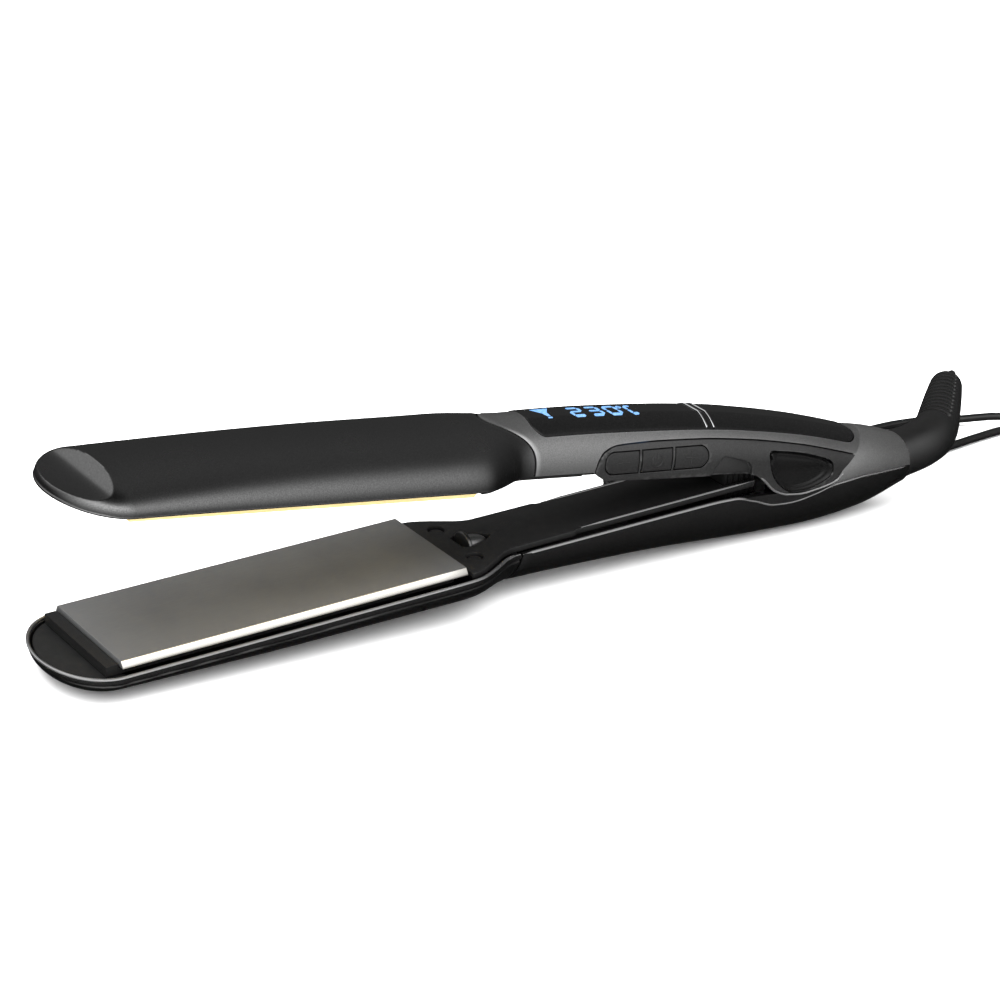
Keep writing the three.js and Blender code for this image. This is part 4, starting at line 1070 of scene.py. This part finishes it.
band_start, band_end = COVER["band"], COVER["band"] + COVER["band_width"]
glass = cover_piece("display_glass", COVER["start"], band_start - 0.15, COVER["front_round"], 0, GLOSS, 110)
finish(glass, "gloss_black", "display_cover")
tail_glass = cover_piece("rear_glass", band_end + 0.15, COVER["end"], 0, COVER["rear_round"], GLOSS, 90)
finish(tail_glass, "gloss_black", "rear_cover")
inlay = cover_piece("band_inlay", band_start + 0.1, band_end - 0.1, 0, 0, GLOSS, 12, -0.25)
finish(inlay, "gloss_black")
for k, x in enumerate((band_start + 0.25, band_end - 0.25)):
    ys = np.linspace(-COVER["half"] + 0.3, COVER["half"] - 0.3, 80)
    path = np.stack([np.full_like(ys, x), ys, cover_top(np.full_like(ys, x), ys) + 0.05], -1)
    rib = new_piece(f"band_rib_{k + 1}", *tube(path, 0.3, 12), "upper", CHROME)
    finish(rib, "chrome", *(["trim_band"] if k == 0 else []))


def bar_on_cover(corners, height=0.1):
    """Flat bar that follows the cover, given by its corners in x and y."""
    corners = np.asarray(corners, float)
    z = cover_top(corners[:, 0], corners[:, 1])
    return rings([np.column_stack([corners, z - height]), np.column_stack([corners, z + height])])


def digit_bars(x, y, wide, tall, which):
    """Seven-segment digit that reads along the arm, its top away from the near side."""
    t, g = 0.5, 0.12
    middle = y + tall / 2
    across = {"a": y + tall, "g": middle, "d": y}
    upright = {"f": (x, middle, y + tall), "b": (x + wide, middle, y + tall), "e": (x, y, middle),
               "c": (x + wide, y, middle)}
    bars = []
    for key in which:
        if key in across:
            a, b, h = x + g, x + wide - g, across[key]
            bars.append([(a, h), (a + t, h - t), (b - t, h - t), (b, h), (b - t, h + t), (a + t, h + t)])
        else:
            at, low, high = upright[key]
            low, high = low + g, high - g
            bars.append([(at, low), (at + t, low + t), (at + t, high - t), (at, high), (at - t, high - t),
                         (at - t, low + t)])
    return bars


def ring_bars(x, y, radius, thick, count=12):
    bars = []
    for k in range(count):
        a, b = (2 * math.pi * (k + s) / count for s in (0, 0.86))
        bars.append([(x + r * math.cos(t), y + r * math.sin(t)) for t, r in
                     ((a, radius), (b, radius), (b, radius + thick), (a, radius + thick))])
    return bars


bars = []
base = -4.3
for x, which in ((155.5, "abged"), (162.4, "abgcd"), (169.3, "abcdef")):
    bars += digit_bars(x, base, 4.2, 5.6, which)
bars += ring_bars(175.3, base + 5.0, 0.5, 0.45) + digit_bars(177.4, base, 2.6, 5.6, "adef")
bars.append([(143.2, 2.4), (149.6, 2.4), (147.3, -0.8), (146.9, -3.4), (145.9, -3.4), (145.5, -0.8)])
bars.append([(145.7, -3.9), (147.1, -3.9), (147.1, -4.4), (145.7, -4.4)])
finish(new_piece("display_digits", *merged(map(bar_on_cover, bars)), "upper", LIT), "display_light")


# ---- plates ----
def plate(name, side, where, body, node, face_paint, bevel_paint, slot):
    wide = PLATE_HALF + 1
    section = [(-wide, 1.6), (-PLATE_HALF, 0.0), (PLATE_HALF, 0.0), (wide, 1.6), (wide, PLATE_THICKNESS),
               (-wide, PLATE_THICKNESS)]
    rows = []
    for x in np.linspace(0, PLATE_LENGTH, 15):
        rows.append([(x, y, side * z) for y, z in section])
    points, faces = rings(rows)
    piece = new_piece(name, points, faces, where, face_paint, body)
    rounded(piece, 0.18, 3)
    piece.data.materials.append(bevel_paint)
    for polygon in piece.data.polygons:
        if abs(polygon.normal.y) > 0.35:
            polygon.material_index = 1
    finish(piece, slot, node)


plate("lower_plate_face", -1, "lower", "lower_plate_unit", "lower_plate", TITANIUM, BEVEL_METAL, "titanium")
plate("upper_plate_face", 1, "upper", "upper_plate_unit", "upper_plate", GOLD, GOLD, "gold")


# ---- inner covers ----
# Drop-shaped opening behind the ozone hood, pointed towards the handle.
NOZZLE_NEAR = [(121.3, -3.4), (123.4, -4.3), (125, -4.2), (128, -3.3), (131, -1.9), (133.2, -0.5)]
NOZZLE_OUTLINE = NOZZLE_NEAR + [(x, -y) for x, y in NOZZLE_NEAR[::-1]]


def nozzle():
    """Arched hood over the outlet and the half cone that runs back from it."""
    face = -2.3
    angles = np.linspace(0, math.pi, 33)
    rows = []
    for x, grow in ((123.1, -0.45), (123.2, -0.1), (123.35, 0), (124.15, 0), (124.3, -0.1), (124.4, -0.45)):
        wide, high = 4.5 + grow, 3.9 + grow
        arch = [(x, wide * math.cos(a), face - 1.2 + high * math.sin(a)) for a in angles]
        rows.append(arch + [(x, -wide, face - 2.6), (x, wide, face - 2.6)])
    hood = new_piece("ozone_hood", *rings(rows), "lower", PANEL, sharp=50)
    finish(hood, "inner", "ozone_outlet")
    rows = []
    for x in np.linspace(124.5, 131.6, 40):
        t = (x - 124.5) / 7.1
        size = math.sqrt(max(0.004, 1 - t ** 1.7))
        rows.append([(x, 3.2 * size * math.cos(a), face - 1.5 + 2.9 * size * math.sin(a)) for a in angles]
                    + [(x, -3.2 * size, face - 2.2), (x, 3.2 * size, face - 2.2)])
    cone = new_piece("ozone_cone_cover", *rings(rows), "lower", HANDLE, sharp=60)
    finish(cone, "steel", "ozone_cone")


nozzle()


def inner_cover(name, side, where, node, face, end):
    xs = np.concatenate([np.linspace(114, 156, 30), np.linspace(157.5, end, 40)])
    edge = half(xs) - 2.15 - 0.8 * np.clip((xs - 156) / 1.5, 0, 1)
    near = list(zip(xs, -edge))
    outline = near + [(x, -y) for x, y in near[::-1]]
    cover = new_piece(name, *prism(outline, face, face + side * 1.9, "z"), where, INNER)
    holes = [arc((120.8, hand * 10.6), 2.6, 0, 350, 36) for hand in (-1, 1)]
    if side < 0:
        holes += [NOZZLE_OUTLINE, [(215.2, -8.5), (240, -8.5), (240, 8.5), (215.2, 8.5)]]
    cuts = [block(hole, -9, 9, "z", where) for hole in holes]
    carve(cover, cuts)
    rounded(cover, 0.35, 3, 40)
    finish(cover, "inner", node)
    if side < 0:
        for hand, label in ((-1, "near"), (1, "far")):
            line = np.stack([xs[31:], hand * (edge[31:] - 0.3), np.full(39, face + 0.02)], -1)
            # Inner-cover edge line painted light as a painted highlight.
            bead(f"inner_line_{label}", line, 0.34, where, BEAD_HIGHLIGHT_PAINT)
    for screw in (f"{node[:5]}_cover_screw_1", f"{node[:5]}_cover_screw_2"):
        for slot in frame["nodes"][screw].material_slots:
            slot.material = CARRIER


inner_cover("lower_inner_face", -1, "lower", "lower_inner_cover", -2.3, 226)
inner_cover("upper_inner_face", 1, "upper", "upper_inner_cover", 0.9, 212)


# ---- hinge boot and elbow ----
def boot():
    """Soft bellows between the arms in front of the hinge."""
    n = 64
    angles = np.linspace(0, 2 * math.pi, n, endpoint=False)
    c, s = np.cos(angles), np.sin(angles)
    square = 1 / (np.abs(c) ** 6 + np.abs(s) ** 6) ** (1 / 6)
    rows = []
    for x in np.linspace(215.6, 228.9, 70):
        fold = 0.5 * (0.5 + 0.5 * math.cos((x - 215.6) * 2 * math.pi / 2.2))
        end = 0.8 * max(0, 1 - (x - 215.6) / 0.8) ** 2 + 0.8 * max(0, 1 - (228.9 - x) / 0.8) ** 2
        out = fold + end
        rows.append(np.stack([np.full(n, x), (8 - out) * c * square, -2.8 + (6.2 - out) * s * square], -1))
    piece = new_piece("hinge_bellows", *rings(rows), "lower", BOOT)
    finish(piece, "silicone", "hinge_boot")


boot()


def tail_point(x):
    return np.array([x, 0.0, TAIL_AXIS["z"] + (x - TAIL_END) * TAIL_AXIS["slope"]])


def elbow():
    """Ribbed elbow that turns in the tail, its short neck inside the shells."""
    along = np.array([1, 0, TAIL_AXIS["slope"]])
    along /= np.linalg.norm(along)
    up = np.array([-along[2], 0, along[0]])
    side = np.array([0, math.cos(math.radians(5)), 0]) + math.sin(math.radians(5)) * up
    bend = math.radians(42)
    out = math.cos(bend) * along + math.sin(bend) * side
    corner = tail_point(311)
    neck = 4.0
    before, after = corner - 10 * along, corner + 10 * out
    arc_points = [before * (1 - t) ** 2 + 2 * corner * t * (1 - t) + after * t * t
                  for t in np.linspace(0, 1, 20)]
    path = np.vstack([np.linspace(tail_point(TAIL_END - neck), before, 8), arc_points[1:],
                      np.linspace(after, corner + 39 * out, 40)[1:]])
    path = evenly(path, 0.35)
    total = path_length(path)
    s = np.linspace(0, total, len(path))
    face = neck + 0.25
    ribs_start, ribs_end = face + 23, total - 4
    radius = through([
        (0, 5.4), (face, 5.4), (face + 0.35, 7.7), (face + 1, 8), (face + 17, 8), (ribs_start, 7.6),
        (ribs_end, 5.6), (total - 2.4, 5.2), (total - 1.2, 4.4), (total - 0.4, 3.2), (total, 1.7),
    ])(s)
    phase = (s - ribs_start) / 2.55
    ribbed = (s > ribs_start) & (s < ribs_end)
    dip = np.where(ribbed & ((phase % 1) < 0.42), 1.0, 0.0)

    def shape(t, angle):
        k = int(round(t * (len(path) - 1)))
        smooth_band = np.clip((np.abs(np.sin(angle - math.radians(25))) - 0.28) / 0.12, 0, 1)
        return 1 - dip[k] / radius[k] * smooth_band

    points, faces = tube(path, radius, 64, shape)
    piece = new_piece("swivel_elbow", points, faces, "lower", RUBBER, "swivel", sharp=60)
    return finish(piece, "rubber", "cord_elbow"), place(path[-1][None, :], "lower")[0]


elbow_piece, cord_exit = elbow()
